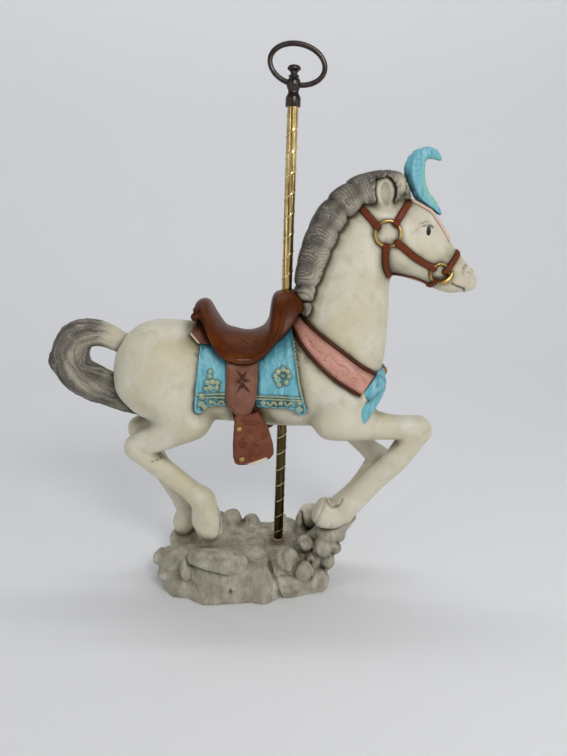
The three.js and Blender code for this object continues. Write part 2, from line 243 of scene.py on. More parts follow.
def line_distance(x, z, points, closed=False):
    """Distance in the side plane from open coordinates x, z to a line through [x, z] points."""
    points = np.array(points, np.float32)
    if closed:
        points = np.vstack([points, points[:1]])
    best = np.float32(1e9)
    for a, b in zip(points[:-1], points[1:]):
        step = b - a
        s = np.clip(((x - a[0]) * step[0] + (z - a[1]) * step[1]) / max(step @ step, 1e-9), 0, 1)
        best = np.minimum(best, (x - a[0] - s * step[0]) ** 2 + (z - a[1] - s * step[1]) ** 2)
    return np.sqrt(best)


def outline_distance(x, z, points):
    """Signed distance in the side plane to a closed outline, negative inside."""
    points = np.array(points, np.float32)
    inside = np.zeros(np.broadcast_shapes(x.shape, z.shape), bool)
    for a, b in zip(points, np.roll(points, -1, axis=0)):
        crosses = (a[1] > z) != (b[1] > z)
        rise = b[1] - a[1] if b[1] != a[1] else 1e-9
        inside ^= crosses & (x < (b[0] - a[0]) * (z - a[1]) / rise + a[0])
    gap = line_distance(x, z, points, closed=True)
    return np.where(inside, -gap, gap)


def spiral(centre, radius, turns, start, hand):
    """Points of a scroll that winds in to its centre."""
    t = np.linspace(0, 1, 26)
    angle = start + hand * turns * 2 * math.pi * t
    reach = radius * (1 - 0.88 * t)
    return np.stack([centre[0] + reach * np.cos(angle), centre[1] + reach * np.sin(angle)], 1)


# ---- noise ----------------------------------------------------------------------------------

LATTICE = rng.random((32, 32, 32)).astype(np.float32) * 2 - 1


def noise(x, y, z, size):
    """Smooth value noise from -1 to 1, with features about `size` millimetres across."""
    scale = size if np.ndim(size) else (size, size, size)
    shape = np.broadcast_shapes(np.shape(x), np.shape(y), np.shape(z))
    cells, parts = [], []
    for coordinate, extent in zip((x, y, z), scale):
        place = coordinate / extent + 64.0
        base = np.floor(place)
        part = place - base
        cells.append(base.astype(int) % 32)
        parts.append((part * part * (3 - 2 * part)).astype(np.float32))
    total = np.zeros(shape, np.float32)
    for dx, dy, dz in np.ndindex(2, 2, 2):
        weight = ((parts[0] if dx else 1 - parts[0]) * (parts[1] if dy else 1 - parts[1])
                  * (parts[2] if dz else 1 - parts[2]))
        total += weight * LATTICE[(cells[0] + dx) % 32, (cells[1] + dy) % 32, (cells[2] + dz) % 32]
    return total


# ---- the horse ------------------------------------------------------------------------------

TRUNK = [
    [-104, 0, 208, 47, 43.5], [-78, 0, 207, 46, 42.5], [-56, 0, 204.5, 42, 40],
    [-30, 0, 201, 40.5, 39], [0, 0, 200, 43, 38], [26, 0, 203, 47, 37.5],
    [46, 0, 206, 46, 36], [57, 0, 206, 42, 31.5],
]
NECK = [
    [46.5, 0, 206, 40, 33], [54.5, 0, 234, 42.5, 32], [60, 0, 262, 38, 28],
    [64, 0, 290, 34, 24], [71, 0, 316, 31, 22], [83, 0, 338, 27, 19.5],
]
HEAD = [
    [90, 0, 343, 22, 17], [101, 0, 332, 27.5, 20.5], [110.5, 0, 323, 30, 21],
    [123, 0, 314, 26.5, 17.5], [137, 0, 304, 20.5, 12.5], [149, 0, 296, 17, 11],
    [158, 0, 290.5, 13.5, 10.5], [163, 0, 288, 9.5, 8.5],
]
SHOULDER = [[62, 19, 206, 29, 20], [60, 22, 189, 28, 19], [55, 23, 171, 20, 16]]
HAUNCH = [[-110, 21, 212, 34, 22], [-93, 23, 191, 29, 21], [-80, 24, 171, 20, 18]]
LEGS = {
    "near_fore": (NEAR, SHOULDER, [
        [47, 23, 168, 18, 15], [70, 24, 166, 16, 15], [100, 22, 161.5, 11.5, 11],
        [125, 20, 159, 12.3, 11],
    ], [
        [125, 20, 156, 12.3, 11], [108, 20, 129, 11.3, 9.5], [88, 19, 107, 10.8, 8.5],
        [66, 19, 83, 12, 10.5],
    ], [[61, 19, 76, 12, 11], [51, 19, 73.5, 14.5, 12.5], [44, 19, 74.5, 15, 12.5]]),
    "far_fore": (FAR, SHOULDER, [
        [56, 19, 158, 15, 13], [75, 18, 138, 9.5, 10], [99, 16, 115.5, 10.5, 10],
    ], [
        [99, 16, 114.5, 10.5, 10], [80, 16, 85, 9.3, 8.5], [60, 16, 62, 11, 10],
    ], [[53, 16, 56, 11.5, 10.5], [42, 16, 51, 13, 12], [32, 16, 52, 12.5, 12]]),
    "near_hind": (NEAR, HAUNCH, [
        [-77, 24, 169, 18, 17], [-99, 24, 156.5, 15, 13], [-127, 22, 142, 10.8, 9.5],
    ], [
        [-126, 22, 140, 10.8, 9.5], [-105, 21, 120.5, 10.4, 8.8], [-82, 20, 99.5, 9.8, 8.3],
        [-69, 20, 87, 11.6, 10],
    ], [[-68, 20, 80, 12, 10.5], [-66.8, 20, 68, 14.2, 12.5], [-64.5, 20, 57, 12, 11.5]]),
    "far_hind": (FAR, HAUNCH, [
        [-84, 22, 167, 17, 15], [-108, 21, 157.5, 14, 12], [-134, 18, 146, 11, 9.5],
    ], [
        [-133, 18, 142, 11, 9.5], [-112, 16, 100, 9.8, 8.5], [-93, 14, 68, 9.4, 9],
    ], [[-91.5, 14, 60, 9.5, 9.5], [-94.5, 14, 46, 11.5, 11], [-94.5, 14, 34, 7.5, 9],
        [-95, 14, 25, 3.5, 5]]),
}


JOINTS = [
    ([126, -20, 158], [11.5, 11.5, 11], 0), ([-129, -22, 143], [8.5, 9.5, 8.5], 0),
    ([64, -19, 84], [10.5, 11, 10], 40), ([-71, -20, 91], [10.8, 10.5, 9.2], -40),
    ([-134, 18, 146], [9.5, 9.5, 9], 0), ([99, 16, 116], [9.6, 10.5, 10], 0),
    ([-94, 14, 69], [9.5, 10, 8.5], 0), ([60, 16, 63], [10.5, 10.5, 9], 40),
]
HOOF_LINES = [
    ([[-79, 62], [-77.8, 59.8], [-70, 53.8], [-63, 51.6], [-57, 53.6], [-54.4, 60], [-54, 72],
      [-56, 82]], 0.4, 0.9),
    ([[45.5, 91], [39.5, 79], [34, 64]], 0.3, 0.8),
    ([[45, 89], [50, 84.4], [56, 86], [60, 92]], 0.4, 1.0),
    ([[-104, 40], [-99, 30], [-94.5, 22]], 0.3, 0.7),
    ([[50, 68], [46.5, 58], [47, 46]], 0.3, 0.7),
]
LEG_CREASES = [
    ([[-113, 131], [-104, 134], [-96, 138.5]], 0.3, 1.2),
    ([[108, 146], [103, 151]], 0.3, 0.9),
]


def on_side(stations, side):
    return [[x, side * y, z, half, wide] for x, y, z, half, wide in stations]


def add_torso(field):
    limb(field, TRUNK)
    limb(field, NECK, blend=14)


def add_legs(field):
    for side, *limbs in LEGS.values():
        shoulder, upper, lower, hoof = [on_side(stations, side) for stations in limbs]
        limb(field, shoulder, blend=9)
        limb(field, upper, blend=8)
        limb(field, lower, blend=3)
        limb(field, hoof, blend=3)
    for place, radii, tilt in JOINTS:
        ellipsoid(field, place, radii, blend=5, tilt=tilt)
    slices, (x, y, z) = field.window((20, -36, 48), (60, -4, 98))
    sole = (-0.902 * (x - 41.3) + 0.43 * (z - 90.2) - 0.8) * np.ones_like(y)
    field.value[slices] = smooth_max(field.value[slices], sole, 1.5)
    for points, radius, depth in HOOF_LINES:
        engrave(field, curve(points), radius, depth, (-112, -36, 18), (72, 36, 98))
    for points, radius, depth in LEG_CREASES:
        engrave(field, curve(points), radius, depth, (-150, -50, 84), (140, 50, 180))


CHIN = [[140, 0, 287.5, 6, 7.5], [148, 0, 284.3, 5.6, 8], [155, 0, 283.2, 4.6, 7],
        [158.5, 0, 284, 2.8, 5]]
UPPER_LIP = [[155, 0, 295, 9, 9], [163, 0, 290.5, 8.2, 9], [168, 0, 287, 6, 7.4]]
MOUTH = [[149.5, 287.6], [152, 286.2], [155, 284.9], [159, 283.7], [161.4, 282.4], [162.4, 278.4]]
FACE_LINES = [
    (curve(MOUTH, 4), 0.55, 1.5),
    ([[110.8, 328.6], [114.8, 332.2], [119.3, 335.0], [124, 335.9], [128.4, 334.2]], 0.2, 0.7),
    ([[112.6, 332.4], [117.5, 337.0], [123, 338.2]], 0.15, 0.4),
    (curve([[158.4, 295.4], [157.9, 299.4], [160.6, 302.2], [164.6, 301.4], [166, 297.4],
            [163.6, 293]], 4), 0.3, 0.55),
]


def add_head(field):
    limb(field, HEAD, blend=8)
    limb(field, CHIN, blend=1.5)
    limb(field, UPPER_LIP, blend=3)
    for side in SIDES:
        ellipsoid(field, [103, side * 9, 320], [20, 13, 20], blend=6)
        ellipsoid(field, [119, side * 12.5, 331.5], [10.5, 5.6, 6.5], blend=4)
        ellipsoid(field, [107.5, side * 14.5, 338], [5.5, 4, 4], blend=4)
        ellipsoid(field, [132, side * 10, 319], [12, 5, 4], blend=5, tilt=-38)
        ellipsoid(field, [162, side * 6.6, 295.5], [6.6, 5.0, 6.4], blend=1.6)
        ellipsoid(field, [162.4, side * 12.4, 297], [1.6, 2.2, 2.2], blend=1, cut=True, tilt=-30)
        add_ear(field, side)
        add_eye(field, side)
    for points, radius, depth in FACE_LINES:
        engrave(field, curve(points), radius, depth, (104, -30, 276), (172, 30, 344))


def add_ear(field, side):
    limb(field, [[89.4, side * 12, 343, 2.6, 3], [88.6, side * 15.6, 350, 5.4, 3.8],
                 [87.4, side * 17.2, 356.5, 8.4, 4], [86.8, side * 17.8, 362.5, 9.2, 3.6],
                 [86.6, side * 17.6, 368.4, 7.6, 2.8], [86.6, side * 17, 372, 4.0, 1.8]],
         blend=2.5)
    limb(field, [[88.8, side * 20.6, 352, 1.8, 1.6], [88, side * 21.8, 358.5, 4.9, 2.8],
                 [87.5, side * 21.5, 364, 4.7, 2.4], [87.1, side * 20.4, 368, 2.6, 1.4]],
         blend=1.4, cut=True)


def add_eye(field, side):
    """An almond eyeball, with a long upper lid and a fine lower one."""
    ellipsoid(field, [119.6, side * 15.0, 330.8], [8.2, 3.5, 4.6], blend=1.4)
    upper = [[110, 16.8, 329.6, 0.6, 0.6], [114.4, 18.2, 333.2, 0.9, 0.9],
             [119.3, 18.6, 336.2, 1.0, 1], [125, 17.6, 337, 0.9, 0.9],
             [129.6, 15.2, 334.6, 0.7, 0.7]]
    lower = [[113, 18, 327.2, 0.6, 0.6], [119, 18.2, 325.6, 0.7, 0.6],
             [125.5, 17, 326.6, 0.6, 0.6], [129.6, 15.2, 330.4, 0.5, 0.5]]
    for line in (upper, lower):
        limb(field, on_side(line, side), blend=1.2)


def engrave(field, points, radius, depth, low, high):
    """A groove along a line in the side plane, on both sides, `depth` deep at most."""
    slices, (x, _, z) = field.window(low, high)
    carve(field, slices, line_distance(x, z, points) - radius, depth, 0.6)


def carve(field, slices, pattern, depth, blend):
    """Sinks a pattern, given by its distance, into a form."""
    here = field.value[slices]
    field.value[slices] = smooth_max(here, np.minimum(-pattern, here + depth), blend)
    field.mark(slices, np.broadcast_to(np.clip(0.6 - pattern / 0.9, 0, 1), here.shape))


HORSE_LOW, HORSE_HIGH = (-158, -50, 16), (180, 50, 382)


def horse_field(pitch):
    field = Field(HORSE_LOW, HORSE_HIGH, pitch)
    add_torso(field)
    add_legs(field)
    add_head(field)
    return field


# ---- hair and plume -------------------------------------------------------------------------

def ridges(phase):
    """Rounded ridges with narrow valleys, one for each unit of phase: 0 on top, 1 in a valley."""
    return (1 - np.abs(np.sin(np.pi * phase))) ** 2


MANE_LINE = [
    [23, 0, 266, 7.5, 12], [27, 0, 288, 12, 18], [33, 0, 312, 13.5, 20], [42, 0, 335, 13.5, 20],
    [55, 0, 352, 13.5, 20], [76, 0, 365, 13, 19], [99, 0, 367, 10.5, 15],
]
FORELOCK = [[90, 0, 370, 9, 14], [101, 0, 367.5, 9.5, 14.5], [109.5, 0, 360, 7.5, 12]]
FORELOCK_START, FORELOCK_PHASE = 92, 0.93
MANE_INNER = [
    [19, 263], [21.9, 259.9], [26.4, 261], [29.6, 268.3], [31.7, 279.3], [35.9, 290.2],
    [41.5, 305], [47.6, 319.8], [51.6, 328], [56.5, 337], [63, 343.8], [69, 349.6],
    [76, 352.6], [84, 352], [97, 353.4], [103, 355], [110.4, 357], [109.6, 363], [107.4, 370],
    [104.4, 376], [100.6, 381],
]
EAR_OUTLINE = [
    [87.4, 374.2], [82.4, 372], [79.2, 367], [78.6, 360], [80.4, 354], [84, 349], [89, 346],
    [93, 350.6], [96.2, 356.6], [96.8, 363.6], [94.4, 369.8], [91, 373.2],
]


def mane_field(horse):
    """The mane and forelock, carved in locks and strands of hair."""
    field = Field((4, -30, 252), (122, 30, 388), FINE_PITCH)
    slices, _, crest, along, angle = limb_distance(field, MANE_LINE, 8, power=2.6)
    limb(field, FORELOCK, blend=3)
    field.value[slices] = smooth_min(field.value[slices], crest, 4)
    neck = horse.on_grid_of(field)
    everywhere, (x, y, z) = field.window()
    region = outline_distance(x, z, [[-10, 263], *curve(MANE_INNER, 4), [100, 395], [-10, 395]])
    ear = outline_distance(x, z, curve(EAR_OUTLINE + EAR_OUTLINE[:1], 4))
    beside = smooth_max(neck - 2.2, np.abs(y) - 25, 2)
    thick = smooth_min(field.value, beside, 3)
    field.value = smooth_max(thick, np.broadcast_to(region, thick.shape), 3)
    hole = np.broadcast_to(np.maximum(0.2 - ear - 0.12 * (np.abs(y) - 17), 11.5 - np.abs(y)),
                           thick.shape)
    field.value = np.where(np.abs(y) > 9, smooth_max(field.value, hole, 1.5), field.value)
    wave = (0.008 * noise(x, y, z, 7) + 0.017 * noise(x, y, z, 17)
            + 0.012 * noise(x + 50, y, z, 34))
    sweep = np.full(field.value.shape, 1.0, np.float32)
    sweep[slices] = along - 0.030 * np.abs(angle) + 0.012 * np.abs(angle) ** 2
    sweep = sweep + 0.0006 * (z - 360) * (sweep > FORELOCK_PHASE)
    front = along_forelock(x, z)
    flow = np.where(x > FORELOCK_START, front, sweep) + wave
    body = 0.6 + 0.4 * noise(x, y + 60, z, 12)
    locks = ridges(8.2 * flow + 0.3 * noise(x, y, z, 30)) * (0.7 + 0.5 * noise(x, y, z, 20))
    strands = ridges(64 * flow) * body
    fine = ridges(141 * flow + 0.3)
    field.value = (field.value + 2.4 * locks + 0.85 * strands + 0.4 * fine - 0.6)
    field.value = field.value.astype(np.float32)
    field.mark(everywhere, 0.35 * locks + 0.5 * strands + 0.35 * fine)
    return field


def along_forelock(x, z):
    """Strands of the forelock fan down and forward from the top of the head."""
    return FORELOCK_PHASE + 0.0034 * (x - FORELOCK_START) + 0.0012 * (366 - z)


TAIL = [
    [[-132, 0, 232, 8, 8], [-142, 0, 235, 9.3, 9.5], [-153, 0, 240.5, 10.6, 11],
     [-165, 0, 243, 12, 12], [-177, 0, 240, 14, 13], [-186, 0, 228, 15.5, 13.5],
     [-188.5, 0, 214, 14.5, 12]],
    [[-186.5, 0, 224, 15, 13], [-183, 0, 207, 16.5, 14], [-169.5, 0, 197, 17, 13.5],
     [-156, 0, 191, 16, 12], [-143, 0, 183.5, 13.5, 10], [-132, 0, 175, 9, 7],
     [-124, 0, 168, 4, 4]],
    [[-176, 9, 242, 8, 6], [-189, 11, 226, 9, 7], [-193, 9, 208, 7, 6], [-186, 7, 198, 4, 4]],
    [[-180, -9, 238, 7, 5], [-186, -11, 218, 9, 6], [-176, -12, 200, 10, 6],
     [-156, -10.5, 187, 8, 5], [-138, -8, 176, 5, 4]],
    [[-187, 0, 243.5, 6, 7], [-194, 0, 231, 5, 7], [-200.5, 0, 217, 6, 8], [-191, 0, 203, 6, 7],
     [-181, 0, 193, 5, 6]],
]


def tail_field():
    """The tail: several hanks of hair, each with its own strands."""
    field = Field((-212, -26, 156), (-118, 26, 264), FINE_PITCH)
    field.mark(field.window()[0], 0)
    for number, stations in enumerate(TAIL):
        slices, (x, y, z), distance, along, angle = limb_distance(field, stations, 6)
        wave = noise(x, y, z, 12) + 0.5 * noise(x, y, z, 5)
        wide = noise(x + 30, y, z, 26)
        smooth_root = np.clip((-140 - x) / 18, 0.12, 1)
        coarse = ridges((4 * angle + 2.6 * along + number) / np.pi + 0.45 * wave + 0.8 * wide)
        strand = ridges((11 * angle + 6 * along) / np.pi + 0.9 * wave + 1.6 * wide)
        strand = strand * (0.65 + 0.45 * noise(x, y + 40, z, 9))
        fine = ridges((29 * angle + 8 * along) / np.pi + 1.6 * wave + 2.5 * wide)
        carved = (1.4 * coarse + 0.8 * strand + 0.35 * fine) * smooth_root - 0.6
        own = distance + carved
        nearer = own < field.value[slices]
        shown = (0.4 * coarse + 0.5 * strand + 0.4 * fine) * smooth_root
        kept = field.carved.value
        kept[slices] = np.where(nearer, shown, kept[slices])
        field.add(slices, own.astype(np.float32), 2.0)
    return field


PLUME = [
    [137.5, 0, 345.6, 1.8, 2.5], [130, 0, 352.4, 4.5, 4.2], [121, 0, 360.4, 6.2, 6],
    [116.2, 0, 371, 7.5, 6.6], [114, 0, 380.6, 8.6, 6.4], [116.6, 0, 388.6, 7.2, 5.6],
    [123, 0, 392.9, 4.9, 5], [129.5, 0, 391.8, 4.1, 4], [134, 0, 388.6, 2, 2.5],
]


def plume_field():
    field = Field((100, -12, 336), (142, 12, 402), FINE_PITCH)

    def barbs(along, angle, axes):
        x, y, z = axes
        wave = noise(x, y, z, 6)
        slant = ridges(15 * along + 0.5 * np.abs(angle) + 0.55 * wave)
        side = np.abs(np.sin(angle))
        quill = np.exp(-((np.cos(angle) + 0.45) / 0.16) ** 2) * (side > 0.3)
        return (0.55 * slant - 0.15) * (1 - quill) - 0.7 * quill - 0.3 * wave

    limb(field, PLUME, relief=barbs)
    return field


# ---- saddle, cloth and harness --------------------------------------------------------------

# Each row is [x, crown height, rim height, half-width at the rim, squareness of the arch].
SEAT_SECTIONS = [
    [-75, 259, 256, 14, 2], [-72.5, 268, 258.5, 21, 2.2], [-69, 272, 260, 25, 2.4],
    [-64, 273.5, 258, 30, 2.4], [-59.5, 271.5, 250, 35, 2.4], [-54.5, 262, 240.5, 39, 2.4],
    [-47, 250.5, 231, 41.5, 2.4], [-38, 247, 226.2, 42.5, 2.3], [-26, 245, 224, 42.5, 2.2],
    [-14, 248, 228, 42, 2.4], [-8, 256, 233, 41, 2.6], [-5.5, 270, 236, 40, 2.8],
    [-2.5, 278, 240, 39, 2.8], [5, 281, 246, 36, 2.8], [13, 281.5, 255, 31, 2.8],
    [19, 280.5, 263, 25, 2.6], [24, 277, 262, 19, 2.4],
]
SEAT_RIM = [
    [-60.5, 261.5], [-57.7, 251.1], [-54.3, 242.5], [-46.1, 230.7], [-35.5, 226.0],
    [-22.6, 225.6], [-12.9, 230.7], [-2.2, 242.5], [3.6, 256], [6, 268], [9, 276],
]
CANTLE_KNOBS = [([-69.2, 23, 260.6], 4.0), ([-68.2, 22.4, 266.4], 3.0)]
SEAT_SCROLLS = [
    spiral([-28, 235.6], 4.2, 1.2, 2.8, -1), spiral([-19, 235.8], 4.2, 1.2, 0.3, 1),
    curve([[-41, 238], [-37, 233.6], [-31, 231.4]]), curve([[-16, 231.4], [-11, 233.6], [-7, 238]]),
]
SKIRT_OUTLINE = [[-58, 264], [-68.5, 262.5], [-73.6, 246.4], [-66.6, 239.6], [-54, 238],
                 [-50, 238], [-50, 262]]


def skirt_field(horse):
    """The short leather skirt that shows behind the seat."""
    field, base, (x, _, z) = field_over(horse, (-80, -46, 230), (-44, 46, 268))
    field.value = shell(base, 4.0, 1.0, outline_distance(x, z, SKIRT_OUTLINE), 1.2)
    return field


def seat_field():
    field = Field((-82, -50, 216), (30, 50, 288), FINE_PITCH)
    _, (x, y, z) = field.window()
    rows = curve(SEAT_SECTIONS, 4)
    crown, rim, half, power = [np.interp(x, rows[:, 0], rows[:, i]).astype(np.float32)
                               for i in range(1, 5)]
    arch = np.abs(y / half) ** power + (z - rim) / np.maximum(crown - rim, 3) - 1
    slope = np.sqrt(sum(g * g for g in np.gradient(arch))) / FINE_PITCH
    arch = arch / np.maximum(slope, 0.012)
    ends = np.maximum(-74.5 - x, x - 23.4)
    solid = smooth_max(smooth_max(arch, rim - z, 3), ends, 5)
    field.value = np.minimum(solid, OUTSIDE).astype(np.float32)
    for side in SIDES:
        for place, radius in CANTLE_KNOBS:
            ellipsoid(field, [place[0], side * place[1], place[2]], [radius] * 3, blend=0.6)
    line = line_distance(x, z, curve(SEAT_RIM, 4))
    ridge = np.sqrt(line ** 2 + (field.value - 0.1) ** 2) - 1.3
    ridge = np.where(np.abs(y) > 12, ridge, OUTSIDE)
    field.value = smooth_min(field.value, ridge, 1.4).astype(np.float32)
    for scroll in SEAT_SCROLLS:
        engrave(field, scroll, 0.15, 0.6, (-46, -50, 222), (-4, 50, 244))
    return field


def box_distance(values, blend):
    """The meeting of several half-spaces, with rounded edges."""
    whole = values[0]
    for value in values[1:]:
        whole = smooth_max(whole, value, blend)
    return whole


FENDER_OUTLINE = [
    [-42, 228], [-43.3, 211.4], [-44.2, 198], [-43, 190.1], [-39.3, 184.2], [-35, 180],
    [-30.5, 178.6], [-26, 178.8], [-21.9, 182.1], [-19.4, 188.9], [-17.1, 198], [-16.2, 212],
    [-16.2, 228],
]
HANGER_OUTLINE = [[-42, 192], [-39.6, 185.2], [-38, 177.2], [-36.4, 168], [-14, 168],
                  [-13.6, 174], [-15.6, 179.5], [-18.5, 190.9], [-19, 194]]


def hanger_field(side):
    """The dark leather that carries the stirrup, behind the fender."""
    field = side_field(side, (-46, -8), (28, 46), (164, 200))
    _, (x, y, z) = field.window()
    depth = y * side
    solid = box_distance([outline_distance(x, z, HANGER_OUTLINE), depth - 42, 31 - depth], 2.5)
    field.value = np.minimum(solid, OUTSIDE).astype(np.float32)
    return field


STIRRUP_OUTLINE = [
    [-35.6, 181.6], [-36.9, 171.3], [-38.3, 155.1], [-38.5, 142.1], [-37, 136.2], [-34, 134.6],
    [-24.5, 135.4], [-13.5, 137.2], [-6, 140], [-3, 143.9], [-3.8, 151.6], [-7.6, 165.5],
    [-12.8, 177], [-16.6, 183],
]
STIRRUP_SCROLLS = [
    spiral([-28.8, 156.0], 4.8, 1.5, 1.2, 1), spiral([-23, 146.4], 3.6, 1.3, 2.2, -1),
    curve([[-30, 161.4], [-26.2, 161.6], [-21.8, 157.4], [-16.6, 154.6], [-10.4, 156.4]]),
    curve([[-26, 145], [-23.4, 141.8], [-19, 142], [-15.4, 145.4], [-13.4, 149.6]]),
    curve([[-17.4, 158.8], [-12.6, 159.6], [-9.4, 162.4]]),
    curve([[-36.6, 166], [-37, 152], [-36.6, 140]]),
]
STIRRUP_FOLDS = [[[-31, 177], [-26, 175.2], [-20, 175.6]],
                 [[-27, 173.6], [-21, 172.6], [-15, 174]]]
RIVETS = [[-31.8, 169.0], [-30.4, 141.5]]
CHIP = [[-24.5, 135.7], [-17.8, 138.0], [-10.1, 140.6]]


def fender_field(side):
    field = side_field(side, (-50, -8), (20, 50), (172, 234))
    slices, (x, y, z) = field.window()
    out = np.interp(z, [172, 180, 195, 210, 226], [45.4, 45.4, 44, 43, 41]).astype(np.float32)
    dome = 1.1 * ((x + 30) / 14) ** 2
    depth = y * side
    outline = outline_distance(x, z, FENDER_OUTLINE)
    solid = box_distance([outline, depth - (out - dome), 30 - depth], 1.6)
    field.value = np.minimum(solid, OUTSIDE).astype(np.float32)
    stitch = 0.2 * np.sign(np.sin(2.6 * (x + z)))
    carve(field, slices, np.abs(outline + 1.9) - 0.15 - stitch, 0.5, 0.3)
    carve(field, slices, star(x, z), 0.9, 0.4)
    return field


PETALS = [(116, 11.2, 0.8), (65, 11.4, 0.8), (92, 5.6, 1.0), (182, 5.4, 0.9), (10, 6.2, 0.9),
          (238, 12, 0.65), (-52, 11.6, 0.65), (270, 5.6, 1.0), (150, 4.5, 0.7), (34, 4.5, 0.7)]


def star(x, z):
    """A flower of long pointed petals pressed into the fender: [degrees, length, width]."""
    best = np.float32(1e3)
    centre = np.array([-29.2, 209.2])
    for turn, reach, width in PETALS:
        way = np.array([math.cos(math.radians(turn)), math.sin(math.radians(turn))])
        root, step = centre + 1.4 * way, (reach - 1.4) * way
        s = np.clip(((x - root[0]) * step[0] + (z - root[1]) * step[1]) / (step @ step), 0, 1)
        bow = 0.9 * np.sin(np.pi * s) * (1 if turn in (238, 65) else -1) * (reach > 8)
        gap = np.sqrt((x - root[0] - s * step[0] + bow * way[1]) ** 2
                      + (z - root[1] - s * step[1] - bow * way[0]) ** 2)
        best = np.minimum(best, gap - width * np.sin(np.pi * (0.12 + 0.84 * s)))
    return best


def stirrup_field(side):
    field = side_field(side, (-44, 4), (28, 58), (128, 188))
    _, (x, y, z) = field.window()
    depth = y * side
    outline = outline_distance(x, z, STIRRUP_OUTLINE)
    bulge = 3.2 * ((x + 24) / 18) ** 2 + 1.1 * ((z - 158) / 24) ** 2
    bulge = bulge + 2.6 * np.clip((z - 170) / 12, 0, 1) ** 2
    solid = box_distance([outline, depth - (49.0 - bulge), 33 - depth], 3.0)
    field.value = np.minimum(solid, OUTSIDE).astype(np.float32)
    low, high = (-44, -60, 128), (4, 60, 188)
    for line in STIRRUP_SCROLLS:
        engrave(field, line, 0.15, 0.8, low, high)
    for fold in STIRRUP_FOLDS:
        engrave(field, curve(fold), 0.3, 0.6, low, high)
    return field


def rivet_field(side):
    field = side_field(side, (-38, -26), (38, 56), (134, 176), FINE_PITCH * 0.7)
    for x, z in RIVETS:
        ellipsoid(field, [x, side * 47.8, z], [2.5, 1.7, 2.5])
        ellipsoid(field, [x, side * 49.6, z], [1.0, 0.7, 1.0], blend=0.3, cut=True)
    return field


BLANKET_OUTLINE = [
    [-62.4, 250], [-64.4, 240.7], [-67, 215.4], [-69.4, 197], [-70.8, 184], [-69.2, 181],
    [-65.5, 180.4], [-62.2, 182.2], [-59.7, 186], [-46.1, 186.6], [-16.6, 185.2], [8.7, 183.6],
    [12.5, 182.6], [15.3, 179.6], [19, 176.6], [22.8, 176], [25.2, 179.8], [23.2, 189.6],
    [20, 202.4], [16, 228.1], [12.9, 247], [12, 262], [-60, 262],
]
BLANKET_HEIGHT = 1.8
BORDER_LINES = [
    [[-67.6, 197.8], [-44, 197.9], [-4, 195.2], [19.6, 193.6]],
    [[-60, 195.0], [-44, 194.8], [-4, 192.6], [20.6, 191.4]],
]
FRONT_EDGE = [[14.3, 240], [16.8, 219], [19.2, 203], [22.0, 191]]
ROSES = [
    ([-56.0, 217.4], 1.9), ([-56.4, 213.6], 2.1), ([-54.4, 209.2], 2.2), ([-58.8, 208.2], 2.2),
    ([-50.6, 208.2], 2.3), ([-56.2, 203.8], 2.4), ([-60.2, 203.0], 1.9), ([-51.0, 203.6], 2.2),
    ([0.4, 210.0], 2.9), ([-2.0, 213.6], 2.0), ([0.8, 217.0], 2.2), ([4.8, 218.8], 2.3),
    ([8.8, 216.8], 2.2), ([10.2, 212.8], 1.8), ([7.8, 207.6], 2.3), ([1.6, 205.6], 2.0),
    ([5.0, 213.0], 1.3),
]
CORNER_ROSES = [([-63.7, 195.4], 2.6), ([-64.6, 189.0], 3.0), ([-62.2, 185.4], 2.4),
                ([19.6, 188.8], 2.4), ([19.0, 182.4], 3.2), ([-12.0, 189.2], 2.6),
                ([3.0, 188.6], 2.3), ([-56.6, 190.2], 1.9)]


def polar(x, z, centre):
    dx, dz = x - centre[0], z - centre[1]
    return np.sqrt(dx * dx + dz * dz), np.arctan2(dz, dx)


def rose(x, z, centre, radius):
    """Pattern distance to a small rose with four soft lobes."""
    reach, angle = polar(x, z, centre)
    return reach - radius * (0.9 + 0.1 * np.cos(4 * angle + centre[0]))


def rose_crease(x, z, centre, radius):
    """The swirled creases between the petals of a rose, from 0 to 1."""
    reach, angle = polar(x, z, centre)
    swirl = np.abs(np.sin(1.5 * angle + 4.2 * reach / radius))
    return (1 - swirl) * (reach < radius * 1.1)


def leaf_row():
    """Centres and tilts of the leaves along the blanket's lower border."""
    leaves = []
    for start, end in ((-53.5, -46), (-7.6, -1.6), (7, 13.5)):
        count = int((end - start) / 2.6)
        for i in range(count + 1):
            x = start + i * (end - start) / count
            leaves.append((x, 189.8 - 0.028 * (x + 53), (0.6, -0.6)[i % 2]))
    return leaves


def ornament(x, z):
    """Pattern distance to everything embossed in gold on the blanket."""
    best = np.float32(1e3)
    for line in BORDER_LINES:
        best = np.minimum(best, line_distance(x, z, line) - 0.55)
    for centre, radius in ROSES + CORNER_ROSES:
        best = np.minimum(best, rose(x, z, centre, radius))
    for lx, lz, lean in leaf_row():
        c, s = math.cos(lean), math.sin(lean)
        u, w = (x - lx) * c + (z - lz) * s, -(x - lx) * s + (z - lz) * c
        best = np.minimum(best, np.sqrt((u / 0.95) ** 2 + (w / 2.3) ** 2) - 1)
    beads = curve(FRONT_EDGE, 7)
    for bx, bz in beads:
        best = np.minimum(best, np.hypot(x - bx, z - bz) - 0.85)
    return best


def shell(base, height, sink, outline, blend):
    """A skin on a body: from `sink` under its surface to `height` over it, inside an outline."""
    return smooth_max(smooth_max(base - height, outline, blend), -base - sink, 0.5)


